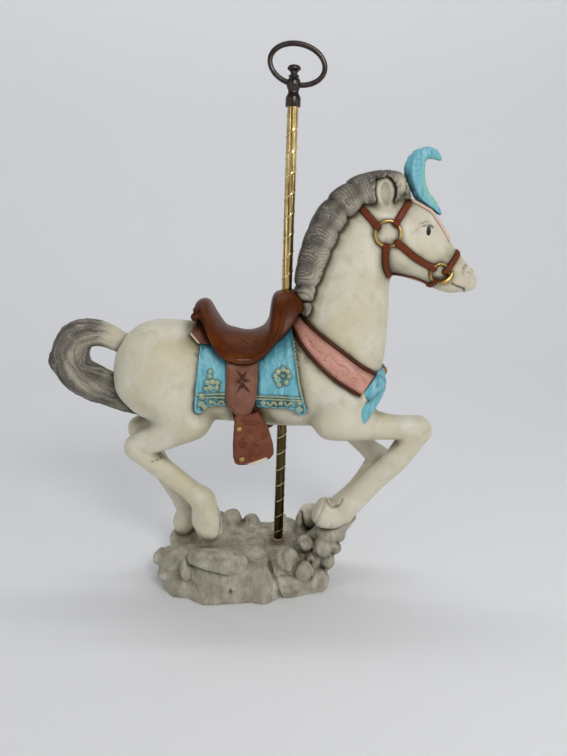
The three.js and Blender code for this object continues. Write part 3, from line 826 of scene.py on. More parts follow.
def blanket_field(horse):
    field, base, (x, y, z) = field_over(horse, (-80, -50, 168), (32, 50, 268))
    outline = outline_distance(x, z, BLANKET_OUTLINE)
    folds = 0.6 * noise(x, y, z, (4.5, 40, 46)) + 0.3 * noise(x, y, z, (2.0, 30, 30))
    field.value = shell(base + folds * (base > -1), BLANKET_HEIGHT, 1.2, outline, 1.0)
    hem = np.sqrt((outline + 0.9) ** 2 + (base - BLANKET_HEIGHT) ** 2) - 0.95
    field.value = smooth_min(field.value, hem, 0.4)
    crease = sum(rose_crease(x, z, c, r) for c, r in ROSES + CORNER_ROSES)
    raised = smooth_max(np.broadcast_to(ornament(x, z), base.shape),
                        base - BLANKET_HEIGHT - 1.3 + 0.9 * crease, 0.4)
    raised = np.maximum(raised, -base - 1)
    field.value = smooth_min(field.value, raised, 0.3).astype(np.float32)
    return field


COLLAR_UPPER = [[17, 264], [25, 255.8], [36.4, 246.4], [50.8, 236.1], [70.1, 221.4],
                [82, 214.2], [96, 205]]
COLLAR_LOWER = [[10, 254], [13.2, 250.2], [21.3, 237.4], [32.2, 225.2], [44.9, 213.4],
                [57.5, 204.4], [70.4, 196.6], [84, 189]]


COLLAR_SCROLLS = [
    curve([[39.5, 225.6], [40.8, 229.6], [44.5, 230.4], [47.6, 226.6], [52.0, 222.6],
           [57.3, 220.4], [59.6, 217], [57.4, 213.8], [54.4, 215.2], [55.6, 217.6]]),
    spiral([31.2, 238.6], 3.8, 1.2, 1.2, 1), spiral([64.4, 209.4], 3.8, 1.2, 5.0, -1),
    curve([[24, 245.6], [27.6, 241.4], [33, 234.4], [38.6, 231.6]]),
    curve([[46, 219.4], [49.6, 216.4], [50, 212.6]]),
    curve([[60.4, 223.6], [65, 219.4], [70.4, 213.6], [74.6, 207.6]]),
]


def collar_fields(horse):
    """The dusty-pink band across the chest, and the rolled leather along its two edges."""
    low, high = (4, -46, 176), (104, 46, 272)
    band, borders = Field(low, high, FINE_PITCH), Field(low, high, FINE_PITCH)
    base = horse.on_grid_of(band)
    slices, (x, _, z) = band.window()
    upper, lower = curve(COLLAR_UPPER), curve(COLLAR_LOWER)
    outline = outline_distance(x, z, np.vstack([upper, lower[::-1]]))
    band.value = shell(base, 1.7, 1.2, outline, 0.8)
    for scroll in COLLAR_SCROLLS:
        carve(band, slices, line_distance(x, z, scroll) - 0.15, 0.6, 0.4)
    seam = np.abs(outline + 2.3) - 0.1
    for edge in (upper, lower):
        line = line_distance(x, z, edge)
        roll = smooth_max(line - 1.7, base - 2.6, 1.6)
        borders.value = smooth_min(borders.value, np.maximum(roll, -base - 1), 0.3)
        carve(band, slices, seam, 0.3, 0.3)
    borders.value = borders.value.astype(np.float32)
    for part in (band, borders):
        beyond_bow = 0.775 * (x - 78) - 0.632 * (z - 205)
        ends = np.broadcast_to(np.maximum(12 - x, beyond_bow), base.shape)
        part.value = smooth_max(part.value, ends, 1).astype(np.float32)
    return band, borders


BOW_PANEL = [[85.4, 215], [81.4, 209], [71, 195.4], [76.4, 191.4], [84, 193], [92, 193.5],
             [114, 197], [114, 211.5], [96, 212.5]]
BOW_TAIL = [[88, 206], [80, 197], [74, 188.6], [70.3, 180.1], [68.6, 173.2], [70.0, 164.6],
            [76.6, 170.7], [80.2, 177.4], [88.9, 188.3], [96, 196], [114, 202]]
BOW_KNOT = (95, 203)


def bow_fields(horse):
    """A ribbon bow across the chest, and the gold beads down its knot."""
    field = Field((60, -38, 158), (106, 38, 224), FINE_PITCH)
    beads = Field((80, -12, 186), (104, 12, 222), FINE_PITCH)
    base = horse.on_grid_of(field)
    slices, (x, y, z) = field.window()
    turn = np.arctan2(z - BOW_KNOT[1], x - BOW_KNOT[0] - 6)
    reach = np.clip(np.hypot(x - BOW_KNOT[0], z - BOW_KNOT[1]) / 30, 0, 1)
    pleat = ridges(4.6 * turn / np.pi + 0.3 * noise(x, y, z, 10)) * (0.5 + reach)
    panel = shell(base, 3.0, 1.0, outline_distance(x, z, BOW_PANEL), 1.2) + 0.7 * pleat
    tail = shell(base, 4.4, 1.0, outline_distance(x, z, curve(BOW_TAIL, 3)), 1.6) + 1.7 * pleat
    field.value = np.minimum(panel, tail).astype(np.float32)
    field.mark(slices, np.broadcast_to(0.9 * pleat, base.shape))
    ellipsoid(field, [surface_x(horse, 204), 0, 204], [3.6, 6, 8], blend=1.5)
    for side in SIDES:
        for height, size in ((208.6, 4.0), (198.4, 2.0)):
            ellipsoid(beads, [surface_x(horse, height) + 2.8, side * 4.6, height],
                      [size * 0.8, size * 0.8, size * 1.15], blend=0.3)
    return field, beads


def surface_x(horse, height):
    """How far forward the chest reaches in the middle at a height."""
    x = np.arange(120, 60, -0.5)
    points = np.stack([x, 0 * x, 0 * x + height], axis=1)
    return float(x[np.argmax(horse.sample(points) < 0)])


STRIPE_AT = 5.2
HARNESS_RINGS = [([90.6, 329], 10.3, 1.3), ([138, 296.3], 7.8, 1.2)]
STRAPS = [
    ([[65, 354], [73, 344.6], [82.4, 334.2]], 3.2),
    ([[110.4, 356.2], [104, 347.6], [97.0, 337.2]], 3.1),
    ([[89.6, 318.6], [89.9, 309], [91.6, 301], [95.3, 294.6]], 3.1),
    ([[98.6, 321.8], [107, 315.2], [116, 308.8], [132.4, 300.2]], 3.2),
    ([[142.6, 297.6], [145.2, 300.4], [149.6, 306.4], [154.4, 313.2]], 3.0),
    ([[135.2, 289.4], [133.6, 286.6], [131, 282], [129, 277]], 2.6),
]
JAW_STRAP = [[95.3, 295.6], [106.6, 293.9], [115.4, 292.4], [124.4, 289.3], [132.1, 285.6]]
FACE_STRAP = [[110, 358], [114.6, 353.6], [121.4, 350], [130.4, 343.4], [136, 336.8],
              [140.5, 331]]


def bridle_fields(horse):
    """Leather straps and brass rings that lie on the head."""
    low, high = (56, -30, 272), (166, 30, 368)
    leather, base, (x, y, z) = field_over(horse, low, high)
    metal = Field(low, high, FINE_PITCH)
    over_ring = np.float32(0)
    for (cx, cz), radius, _ in HARNESS_RINGS:
        reach = np.hypot(x - cx, z - cz)
        over_ring = over_ring + 1.7 * np.exp(-((reach - radius) / 2.6) ** 2)
    for points, half in STRAPS:
        line = line_distance(x, z, curve(points, 3)) - half
        leather.value = np.minimum(leather.value, shell(base - over_ring, 1.5, 1.0, line, 1.8))
    jaw = line_distance(x, z, curve(JAW_STRAP, 3)) - 1.1
    leather.value = np.minimum(leather.value, shell(base, 1.1, 1.0, jaw, 1.0))
    for (cx, cz), radius, wire in HARNESS_RINGS:
        reach = np.hypot(x - cx, z - cz)
        torus = np.sqrt((reach - radius) ** 2 + (base - 1.1) ** 2) - wire
        metal.value = np.minimum(metal.value, torus)
    for side in SIDES:
        limb(metal, on_side([[139, 14.6, 288.6, 1.2, 1.4], [142.6, 14.4, 289.4, 2.3, 2.2],
                             [146.6, 13.8, 293.0, 1.9, 1.8], [148, 13.4, 296.6, 1.2, 1.3]], side))
        ellipsoid(metal, [133, side * 15.4, 302.4], [1.2, 1.2, 1.2])
    keep = np.broadcast_to(6 - np.abs(y), base.shape)
    metal.value = smooth_max(metal.value, keep, 0.5).astype(np.float32)
    return leather, metal


def face_strap_field(horse):
    """The pale pink strap down the ridge of the nose."""
    field, base, (x, y, z) = field_over(horse, (100, -10, 312), (158, 10, 372))
    band = smooth_max(line_distance(x, z, curve(FACE_STRAP, 3)) - 9, np.abs(y) - 6.2, 1)
    field.value = shell(base, 2.4, 1.0, band, 1.4)
    return field


# ---- rocks ----------------------------------------------------------------------------------

FOOTPRINT = [
    [-112, -20], [-105, -38], [-98, -46], [-84, -48], [-72, -56], [-58, -58], [-38, -56],
    [-12, -55], [-2, -50], [8, -47], [25, -44], [38, -38], [48, -28], [50, -10], [46, 14],
    [36, 34], [14, 46], [-16, 52], [-50, 54], [-82, 48], [-104, 32], [-113, 6],
]
BOULDERS = [
    ([-98, -20, 26], [17, 19, 11]), ([-105, -10, 18], [13, 20, 14]),
    ([-97, -34, 12], [12, 12, 12]), ([-84, -34, 24], [10, 14, 13]), ([-90, 14, 28], [22, 20, 11]),
    ([9, -32, 32], [13, 13, 13]), ([8, -38, 12], [18, 12, 13]), ([30, -30, 12], [17, 14, 13]),
    ([-48, 36, 37], [12, 12, 11]), ([-29, 38, 32], [11, 10, 11]), ([6, 38, 25], [16, 12, 11]),
    ([-78, 34, 24], [18, 16, 13]), ([22, 10, 42], [6, 10, 18]), ([32, 16, 26], [16, 16, 16]),
]
LEDGE = [[-75, -36, 40, 7.5, 12], [-62, -40, 39.5, 9, 15], [-46, -42, 37, 11, 15],
         [-35, -40, 35, 9.5, 11]]
PEBBLES = [
    ([24, -40, 26], [10, 9, 10]), ([25.5, -26, 47], [8.6, 8.5, 8.6]),
    ([41.7, -26, 42], [10.2, 9.5, 10.4]), ([31, -31, 34], [5.6, 6, 5.6]),
    ([47, -26, 28], [8, 8, 9]), ([54, -21, 39], [6.5, 7, 8]), ([59, -19, 50], [5.5, 7, 7]),
    ([11, -36, 40], [8, 8, 7]), ([-112, -18, 28], [8, 10, 8]), ([-106, -32, 18], [8, 8, 8]),
    ([40, -33, 12], [9, 8, 12]), ([2, 44, 34], [7, 6, 6]), ([-62, 42, 34], [8, 8, 8]),
]
CRACK = [[-13, 50], [-10, 40], [-6, 28], [0, 14], [3, -2]]
POLE_FOOT = (-0.7, 35)
COLUMN = [
    [34, -6, 20, 20, 22], [42, -10, 36, 18, 19], [49, -13, 50, 14, 15], [60, -16, 62, 9, 10],
    [70, -17, 70, 5, 6],
]


def rocks_field():
    field = Field((-128, -64, -2), (80, 62, 82), ROCK_PITCH)
    slices, (x, y, z) = field.window()
    plan = outline_distance(x, y, curve(FOOTPRINT + FOOTPRINT[:1], 4))
    top = 36 + 2.5 * noise(x, y, 0 * z, 17) - 5 * np.exp(-((x + 4) / 16) ** 2 - (y / 14) ** 2)
    plan = plan + 1.5 + 5.0 * np.clip((z - 4) / 18, 0, 1)
    field.value = smooth_max(np.broadcast_to(plan, field.value.shape), z - top, 12)
    field.value = field.value.astype(np.float32)
    for centre, size in BOULDERS:
        ellipsoid(field, centre, size, blend=2.0)
    limb(field, LEDGE, blend=1.5)
    limb(field, COLUMN, blend=5)
    for centre, size in PEBBLES:
        ellipsoid(field, centre, size, blend=0.8)
    crevice = (1 - np.abs(noise(x, y, z, (21, 21, 30)))) ** 9
    fold = (1 - np.abs(noise(x + 40, y, z, (9, 9, 30)))) ** 5
    grain = (1 - np.abs(noise(x, y + 30, z, (2.6, 2.6, 13)))) ** 2
    lumps = noise(x, y, z, 13)
    front = np.clip((-y - 20) / 10, 0, 1)
    crack = np.exp(-(line_distance(x, z, curve(CRACK)) / 1.4) ** 2) * front
    relief = 1.2 * crevice + 0.5 * fold + 0.35 * grain - 1.6 * lumps + 2.2 * crack
    field.value += relief.astype(np.float32)
    collar = np.maximum(np.hypot(x - POLE_FOOT[0], y) - 5.8, np.abs(z - POLE_FOOT[1]) - 2.5)
    field.value = smooth_min(field.value, np.broadcast_to(collar, field.value.shape), 1.5)
    field.value = smooth_max(field.value, -np.broadcast_to(z, field.value.shape), 0.8)
    field.mark(slices, np.clip(0.45 * crevice + 0.25 * fold + 0.8 * crack, 0, 1))
    return field


# ---- meshes ---------------------------------------------------------------------------------

def mesh_object(name, points, faces, material):
    """A smooth-shaded object from points in millimetres and a list of face arrays."""
    mesh = bpy.data.meshes.new(name)
    mesh.vertices.add(len(points))
    mesh.vertices.foreach_set("co", (np.asarray(points, np.float32) * MM).ravel())
    faces = [np.asarray(block, np.int32) for block in faces if len(block)]
    corners = np.concatenate([block.ravel() for block in faces])
    sizes = np.concatenate([np.full(len(block), block.shape[1], np.int32) for block in faces])
    mesh.loops.add(len(corners))
    mesh.loops.foreach_set("vertex_index", corners)
    mesh.polygons.add(len(sizes))
    mesh.polygons.foreach_set("loop_start", np.concatenate([[0], np.cumsum(sizes)[:-1]]))
    mesh.update(calc_edges=True)
    mesh.validate()
    mesh.shade_smooth()
    mesh.materials.append(material)
    obj = bpy.data.objects.new(name, mesh)
    bpy.context.scene.collection.objects.link(obj)
    return obj


def field_object(name, field, material, adaptivity=0.0):
    reach = 3 * field.pitch
    grid = openvdb.FloatGrid(background=float(reach))
    grid.copyFromArray(np.ascontiguousarray(np.clip(field.value, -reach, reach)))
    points, triangles, quads = grid.convertToPolygons(isovalue=0.0, adaptivity=adaptivity)
    points, faces = without_specks(points, [triangles, quads])
    return mesh_object(name, points * field.pitch + field.low, faces, material)


def without_specks(points, faces):
    """Leaves out crumbs that carving breaks off, under a SPECK share of the largest island."""
    faces = [np.asarray(block, np.int64) for block in faces if len(block)]
    label = np.arange(len(points))
    while True:
        lower = label.copy()
        for block in faces:
            least = label[block].min(axis=1)
            for corner in block.T:
                np.minimum.at(lower, corner, least)
        lower = lower[lower[lower]]
        if (lower == label).all():
            break
        label = lower
    size = np.bincount(label, minlength=len(points))
    kept = size[label] >= SPECK * size.max()
    number = np.cumsum(kept) - 1
    return points[kept], [number[block[kept[block[:, 0]]]] for block in faces]


def vertex_points(obj):
    co = np.empty(len(obj.data.vertices) * 3, np.float32)
    obj.data.vertices.foreach_get("co", co)
    return co.reshape(-1, 3) / MM


def vertex_normals(obj):
    normals = np.empty(len(obj.data.vertices) * 3, np.float32)
    obj.data.vertex_normals.foreach_get("vector", normals)
    return normals.reshape(-1, 3)


def store(obj, name, values):
    """Keeps one number for each vertex, which the materials read by name."""
    attribute = obj.data.attributes.new(name, "FLOAT", "POINT")
    attribute.data.foreach_set("value", np.clip(values, 0, 1).astype(np.float32))


def store_shade_masks(obj, whole):
    """How closed-in each point is, from the distance to the whole casting out along its normal:
    a crease measure for narrow folds and a hollow measure for wide ones. The materials darken by
    both as painted shade, which in the narrow folds also stands for the dark wash in the grooves."""
    points, normals = vertex_points(obj), vertex_normals(obj)
    for name, reaches in (("crease", (1.6, 3.0)), ("hollow_shade", (6.0, 12.0))):
        closed = [1 - whole.sample(points + normals * reach) / reach for reach in reaches]
        store(obj, name, np.mean(np.clip(closed, 0, 1), axis=0))


def lathe(profile, sides=48):
    """Points and faces of a turned form from [radius, height] rows, closed at both ends."""
    angle = np.arange(sides) / sides * 2 * np.pi
    radius, height = np.array(profile, float).T
    points = np.stack([np.outer(radius, np.cos(angle)), np.outer(radius, np.sin(angle)),
                       np.repeat(height[:, None], sides, axis=1)], axis=2).reshape(-1, 3)
    quads = []
    for row in range(len(profile) - 1):
        for i in range(sides):
            j = (i + 1) % sides
            quads.append([row * sides + i, row * sides + j,
                          (row + 1) * sides + j, (row + 1) * sides + i])
    last = (len(profile) - 1) * sides
    triangles = [[0, i + 1, i] for i in range(1, sides - 1)]
    triangles += [[last, last + i, last + i + 1] for i in range(1, sides - 1)]
    return points, [np.array(triangles), np.array(quads)]


# ---- pole, finial and ring ------------------------------------------------------------------

def pole_axis():
    """The pole's foot, its direction, its radius and its length, from the CAD node's box."""
    low, high = [np.array(corner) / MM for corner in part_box("pole")]
    radius = (high[1] - low[1]) / 2
    foot = np.array([low[0] + radius, 0, low[2]])
    top = np.array([high[0] - radius, 0, high[2]])
    length = np.linalg.norm(top - foot)
    return foot, (top - foot) / length, radius, length


def onto_pole(points):
    """Points made around +Z from the origin, moved onto the pole's leaning axis."""
    foot, direction, _, _ = pole_axis()
    across = np.cross([0, 1, 0], direction)
    across /= np.linalg.norm(across)
    away = np.cross(direction, across)
    return foot + points @ np.array([across, away, direction])


POLE_PITCH = 16.5
POLE_STEP = 0.75
FERRULE_START = 394
RING_HALF = (22, 14.6)
RING_TILT = -0.2
RING_WIRE = 2.05


def pole_object(material):
    _, _, radius, length = pole_axis()
    heights = np.arange(0, length, POLE_STEP)
    sides = 56
    points, faces = lathe([[radius, h] for h in heights], sides)
    turn = np.arctan2(points[:, 1], points[:, 0]) / (2 * np.pi)
    phase = (points[:, 2] / POLE_PITCH - turn) % 1
    off_line = np.minimum(phase, 1 - phase) * POLE_PITCH
    line = np.exp(-(off_line / 0.55) ** 2) * (points[:, 2] < FERRULE_START - 5)
    scale = (radius - 0.3 + 0.45 * line) / radius
    points[:, :2] *= scale[:, None]
    # painted shadow and reflection: the brass darkens towards the foot of the pole
    tarnish_and_shade = np.clip((190 - points[:, 2]) / 80, 0, 1)
    obj = mesh_object("brass_pole", onto_pole(points), faces, material)
    # marks the raised twist line, which the brass paint lights with a painted highlight
    store(obj, "line", line)
    store(obj, "tarnish_and_shade", tarnish_and_shade)
    return obj


def finial_object(material):
    top = FERRULE_START
    profile = [
        [4.6, top], [6.0, top], [6.1, top + 0.4], [6.1, top + 6.6], [5.9, top + 7.2],
        *curve([[5.4, top + 8], [4.3, top + 10.4], [4.5, top + 12.2], [5.5, top + 14.6],
                  [5.75, top + 16.6], [5.4, top + 18.8], [4.4, top + 20.6],
                  [3.3, top + 21.6]], 4),
        [4.2, top + 21.9], [4.3, top + 22.5], [3.9, top + 23], [2.9, top + 23.5],
        *curve([[2.7, top + 24.4], [3.4, top + 25.8], [5.0, top + 26.9],
                  [5.5, top + 27.8]], 4),
        *curve([[5.2, top + 28.6], [4.4, top + 29.7], [2.4, top + 30.5], [0.5, top + 30.8]], 4),
    ]
    points, faces = lathe(profile)
    return mesh_object("bronze_finial", onto_pole(points), faces, material)


def ring_object(material):
    low, high = [np.array(corner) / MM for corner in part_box("pull_ring")]
    centre = (low + high) / 2
    around, across = 160, 28
    t = np.arange(around) / around * 2 * np.pi
    oval = np.stack([RING_HALF[0] * np.cos(t), RING_HALF[1] * np.sin(t)], 1)
    slope = np.stack([-RING_HALF[0] * np.sin(t), RING_HALF[1] * np.cos(t)], 1)
    slope /= np.linalg.norm(slope, axis=1, keepdims=True)
    c, s = math.cos(RING_TILT), math.sin(RING_TILT)
    turned = np.array([[c, s], [-s, c]])
    oval, slope = oval @ turned, slope @ turned
    points = []
    for p, d in zip(oval, slope):
        for a in np.arange(across) / across * 2 * np.pi:
            reach = RING_WIRE * math.cos(a)
            points.append([centre[0] + p[0] + d[1] * reach, centre[1] + RING_WIRE * math.sin(a),
                           centre[2] + p[1] - d[0] * reach])
    quads = [[i * across + j, i * across + (j + 1) % across,
              (i + 1) % around * across + (j + 1) % across, (i + 1) % around * across + j]
             for i in range(around) for j in range(across)]
    return mesh_object("bronze_pull_ring", points, [np.array(quads)], material)


# ---- materials ------------------------------------------------------------------------------

def linear(hex_colour):
    """A screen colour such as "d8d2c0" as linear RGBA."""
    values = [int(hex_colour[i:i + 2], 16) / 255 for i in (0, 2, 4)]
    return (*[((v + 0.055) / 1.055) ** 2.4 if v > 0.04045 else v / 12.92 for v in values], 1)


class Paint:
    """A Principled material with helpers that layer colours over each other."""

    def __init__(self, name, colour, rough, metal=0.0, coat=0.0, coat_rough=0.15, specular=0.5):
        self.material = bpy.data.materials.new(name)
        self.material.use_nodes = True
        self.nodes = self.material.node_tree.nodes
        self.links = self.material.node_tree.links
        self.shader = self.nodes["Principled BSDF"]
        for socket, value in (("Base Color", linear(colour)), ("Roughness", rough),
                              ("Metallic", metal), ("Coat Weight", coat),
                              ("Coat Roughness", coat_rough), ("Specular IOR Level", specular)):
            self.shader.inputs[socket].default_value = value
        self.place = self.nodes.new("ShaderNodeTexCoord").outputs["Object"]
        self.colour = None
        self.first = linear(colour)
        self.heights = []

    def noise(self, size, detail=3.0, stretch=(1, 1, 1)):
        """Noise from 0 to 1 with features about `size` millimetres across."""
        mapping = self.nodes.new("ShaderNodeMapping")
        mapping.inputs["Scale"].default_value = [1 / s for s in stretch]
        self.links.new(self.place, mapping.inputs["Vector"])
        node = self.nodes.new("ShaderNodeTexNoise")
        node.inputs["Scale"].default_value = 1 / (size * MM)
        node.inputs["Detail"].default_value = detail
        self.links.new(mapping.outputs["Vector"], node.inputs["Vector"])
        return node.outputs["Fac"]

    def attribute(self, name):
        node = self.nodes.new("ShaderNodeAttribute")
        node.attribute_name = name
        return node.outputs["Fac"]

    def ramp(self, value, start, end, low=0.0, high=1.0):
        node = self.nodes.new("ShaderNodeMapRange")
        for socket, number in (("From Min", start), ("From Max", end),
                               ("To Min", low), ("To Max", high)):
            node.inputs[socket].default_value = number
        self.links.new(value, node.inputs["Value"])
        return node.outputs["Result"]

    def times(self, a, b):
        node = self.nodes.new("ShaderNodeMath")
        node.operation = "MULTIPLY"
        for value, socket in zip((a, b), node.inputs):
            if isinstance(value, (int, float)):
                socket.default_value = value
            else:
                self.links.new(value, socket)
        return node.outputs["Value"]

    def layer(self, colour, amount):
        """Lays a colour over the paint by an amount from 0 to 1."""
        mix = self.nodes.new("ShaderNodeMix")
        mix.data_type = "RGBA"
        self.links.new(amount, mix.inputs["Factor"])
        if self.colour is None:
            mix.inputs["A"].default_value = self.first
        else:
            self.links.new(self.colour, mix.inputs["A"])
        mix.inputs["B"].default_value = linear(colour)
        self.colour = mix.outputs["Result"]
        self.links.new(self.colour, self.shader.inputs["Base Color"])
        return self

    def mottle(self, colour, size, start, end, amount):
        """A colour in patches of noise, whose arguments are `size`."""
        return self.layer(colour, self.ramp(self.noise(*size), start, end, 0, amount))

    def wash(self, colour, name, start, end, amount):
        """A colour that comes in as a stored attribute goes from `start` to `end`."""
        return self.layer(colour, self.ramp(self.attribute(name), start, end, 0, amount))

    def tint(self, colour, name, amount):
        """A colour in proportion to a stored attribute."""
        return self.layer(colour, self.times(self.attribute(name), amount))

    def gloss(self, value, low, high):
        """Roughness from `low` to `high` as value goes from 0 to 1."""
        self.links.new(self.ramp(value, 0.0, 1.0, low, high), self.shader.inputs["Roughness"])

    def metal(self, value):
        self.links.new(value, self.shader.inputs["Metallic"])

    def bump(self, value, height):
        """Relief of `height` millimetres."""
        node = self.nodes.new("ShaderNodeBump")
        node.inputs["Strength"].default_value = 1.0
        node.inputs["Distance"].default_value = height * MM
        self.links.new(value, node.inputs["Height"])
        if self.heights:
            self.links.new(self.heights[-1], node.inputs["Normal"])
        self.heights.append(node.outputs["Normal"])
        self.links.new(self.heights[-1], self.shader.inputs["Normal"])
        return self


def bisque():
    paint = Paint("painted_bisque", "d6d0bb", 0.40, coat=0.12, coat_rough=0.35, specular=0.35)
    paint.mottle("c8bd98", (42,), 0.42, 0.66, 0.6)
    paint.mottle("e2dfd4", (23,), 0.52, 0.7, 0.55)
    paint.mottle("aca58c", (9, 5), 0.52, 0.76, 0.4)
    # painted shade: darker in wide hollows and in narrow folds, where the folds also carry the dark
    # wash
    paint.wash("867d62", "hollow_shade", 0.06, 0.55, 0.9)
    paint.wash("4e4635", "crease", 0.15, 0.7, 0.85)
    paint.tint("6b6150", "carved", 0.6)
    paint.tint("c79a8e", "blush", 0.7)
    # dark spots: a smudge on the rump, darker hoof rims, and painted shade inside the nostrils
    paint.tint("3a2f26", "smudge_and_shade", 0.8)
    paint.mottle("6e5f45", (3.4, 1), 0.795, 0.82, 0.45)
    paint.gloss(paint.noise(12), 0.34, 0.5)
    paint.bump(paint.noise(1.6, 2), 0.05).bump(paint.noise(11, 2), 0.3)
    return paint.material


def hair():
    paint = Paint("brushed_hair", "7c766c", 0.62, specular=0.3)
    paint.mottle("5a554c", (15, 3), 0.38, 0.62, 0.9)
    paint.tint("cfc8b2", "pale", 0.85)
    paint.wash("cbc4b0", "carved", 0.16, 0.02, 0.6)
    paint.wash("34302a", "carved", 0.22, 0.85, 0.92)
    # painted shade in narrow folds and wide hollows
    paint.wash("4b463e", "crease", 0.25, 0.8, 0.5)
    paint.wash("55514a", "hollow_shade", 0.25, 0.9, 0.4)
    paint.tint("4a4641", "dark", 0.8)
    paint.bump(paint.noise(1.2, 3), 0.12)
    return paint.material


def leather(name, colour, dark, light, rough=0.34):
    paint = Paint(name, colour, rough, coat_rough=0.2, specular=0.15)
    paint.mottle(light, (18,), 0.46, 0.7, 0.6)
    paint.mottle(dark, (5, 4), 0.55, 0.75, 0.5)
    # painted shade in wide hollows and narrow folds
    paint.wash(dark, "hollow_shade", 0.15, 0.8, 0.8)
    paint.wash("1c0d06", "crease", 0.15, 0.6, 0.9)
    paint.tint("2a150b", "carved", 0.7)
    paint.layer("e6d9bd", paint.attribute("chip"))
    paint.gloss(paint.noise(6), rough - 0.06, rough + 0.12)
    paint.bump(paint.noise(0.9, 2), 0.05).bump(paint.noise(6, 2), 0.2)
    return paint.material


def turquoise(name="turquoise_cloth", gold=True):
    paint = Paint(name, "6fb5c4", 0.45, coat=0.08, coat_rough=0.35, specular=0.35)
    paint.mottle("98cedb", (3.0, 3, (1, 1, 9)), 0.48, 0.66, 0.7)
    paint.mottle("549ca9", (2.2, 3, (1, 1, 12)), 0.5, 0.68, 0.7)
    shade = 1.0 if gold else 0.6    # plain paint has fainter hollows and creases
    # painted shade in hollows and narrow folds, fainter on the plain paint
    paint.wash("2f7683", "hollow_shade", 0.15, 0.8, 0.6 * shade)
    paint.wash("1d4a50", "crease", 0.14, 0.6, 0.9 * shade)
    paint.tint("2a6470", "carved", 0.8)
    paint.tint("8fc9b0", "pale", 0.7)
    if gold:
        paint.tint("1f4a4c", "gold_edge", 0.85)
        worn = paint.ramp(paint.noise(1.5, 3), 0.46, 0.62)
        gilt = paint.times(paint.attribute("gold"), worn)
        paint.tint("7fa493", "gold", 0.6)
        paint.layer("d2bb6c", gilt)
        paint.metal(paint.times(gilt, 0.4))
    paint.bump(paint.noise(0.9, 2), 0.06).bump(paint.noise(1.3, 2, (1, 1, 14)), 0.12)
    return paint.material


def dusty_pink():
    paint = Paint("dusty_pink", "c58d7b", 0.42, coat=0.12, coat_rough=0.3)
    paint.mottle("d39d8b", (9,), 0.46, 0.68, 0.7)
    paint.mottle("a36c5b", (2.6, 4), 0.55, 0.72, 0.5)
    # painted shade in narrow folds
    paint.wash("8a5546", "crease", 0.1, 0.45, 0.85)
    paint.tint("8f5b4c", "carved", 0.8)
    paint.bump(paint.noise(1.1, 2), 0.08)
    return paint.material


def cream_strap():
    """Dusty-pink paint with a cream line near each edge of the strap."""
    paint = Paint("cream_strap", "c48c7e", 0.42, coat=0.1, coat_rough=0.35, specular=0.35)
    paint.mottle("a87064", (3, 3), 0.5, 0.7, 0.6)
    paint.tint("d9c7b2", "stripe", 0.9)
    # painted shade in narrow folds
    paint.wash("7c5b48", "crease", 0.2, 0.6, 0.8)
    paint.bump(paint.noise(1.1, 2), 0.08)
    return paint.material


def metal(name, colour, rough, tarnish_and_shade, amount, size=5.0):
    paint = Paint(name, colour, rough, metal=1.0)
    paint.mottle(tarnish_and_shade, (size, 4), 0.45, 0.72, amount)
    # painted shade in narrow folds, in the same dark colour as the tarnish patches
    paint.wash(tarnish_and_shade, "crease", 0.1, 0.5, 0.9)
    paint.gloss(paint.noise(size, 3), rough - 0.05, rough + 0.15)
    paint.bump(paint.noise(0.8, 2), 0.02)
    return paint


def pole_brass():
    paint = metal("pole_brass", "ecd190", 0.17, "8a6a2c", 0.6, 9)
    # painted reflection: long, thin dark streaks down the brass
    paint.mottle("5e451a", (1.8, 2, (1, 1, 60)), 0.48, 0.6, 0.8)
    # painted shadow and reflection darken the lower pole
    paint.tint("2c240f", "tarnish_and_shade", 0.92)
    # painted highlight along the raised twist line
    paint.wash("f6e8b8", "line", 0.35, 0.9, 0.9)
    return paint.material


def dark_bronze():
    paint = metal("dark_bronze", "4e4643", 0.26, "272322", 0.8, 6)
    paint.mottle("8a7d74", (3, 3), 0.6, 0.75, 0.5)
    return paint.material


def rock():
    paint = Paint("bisque_rock", "a8a391", 0.62, specular=0.35)
    paint.mottle("ccc7b5", (14, 4, (1, 1, 2)), 0.45, 0.64, 0.85)
    paint.mottle("8b8471", (9, 5), 0.48, 0.7, 0.7)
    paint.mottle("7d7664", (2.0, 4, (1, 1, 7)), 0.5, 0.7, 0.45)
    # painted shade in wide hollows and narrow folds
    paint.wash("5c5544", "hollow_shade", 0.15, 0.8, 0.6)
    paint.wash("3a3428", "crease", 0.25, 0.8, 0.65)
    paint.tint("4a4336", "carved", 0.4)
    paint.tint("77603a", "stain", 0.7)
    paint.layer("5a1c18", paint.attribute("fleck"))
    paint.bump(paint.noise(1.2, 4, (1, 1, 5)), 0.45).bump(paint.noise(5, 4, (1, 1, 2)), 0.8)
    return paint.material


BLUSH = [
    ([115, 18, 330.4], [2.6, 4, 2.2], 1.0), ([108, 16, 337.5], [6, 6, 4], 0.5),
    ([88, 21, 359], [3.5, 4, 7], 0.15), ([164, 8, 289], [6, 8, 4], 0.25),
]
# Dark spots on the body: a smudge on the rump, darker hoof rims, and painted shade inside the
# nostrils.
SMUDGE_AND_SHADE = [
    ([162.6, 12, 297], [1.6, 3.2, 2.0], 0.2), ([-96, 14, 27], [5, 8, 4], 0.4),
    ([36, 19, 66], [2.4, 8, 6], 0.45), ([-79, 30, 251], [5.5, 12, 4], 0.3),
]


def spots(obj, name, places):
    points = vertex_points(obj) * [1, 0, 1] + np.abs(vertex_points(obj)) * [0, 1, 0]
    amount = [strength * np.exp(-np.sum(((points - place) / reach) ** 2, axis=1))
              for place, reach, strength in places]
    store(obj, name, np.max(amount, axis=0))


def plain(name, colour, rough):
    return Paint(name, colour, rough).material


# ---- the pieces -----------------------------------------------------------------------------

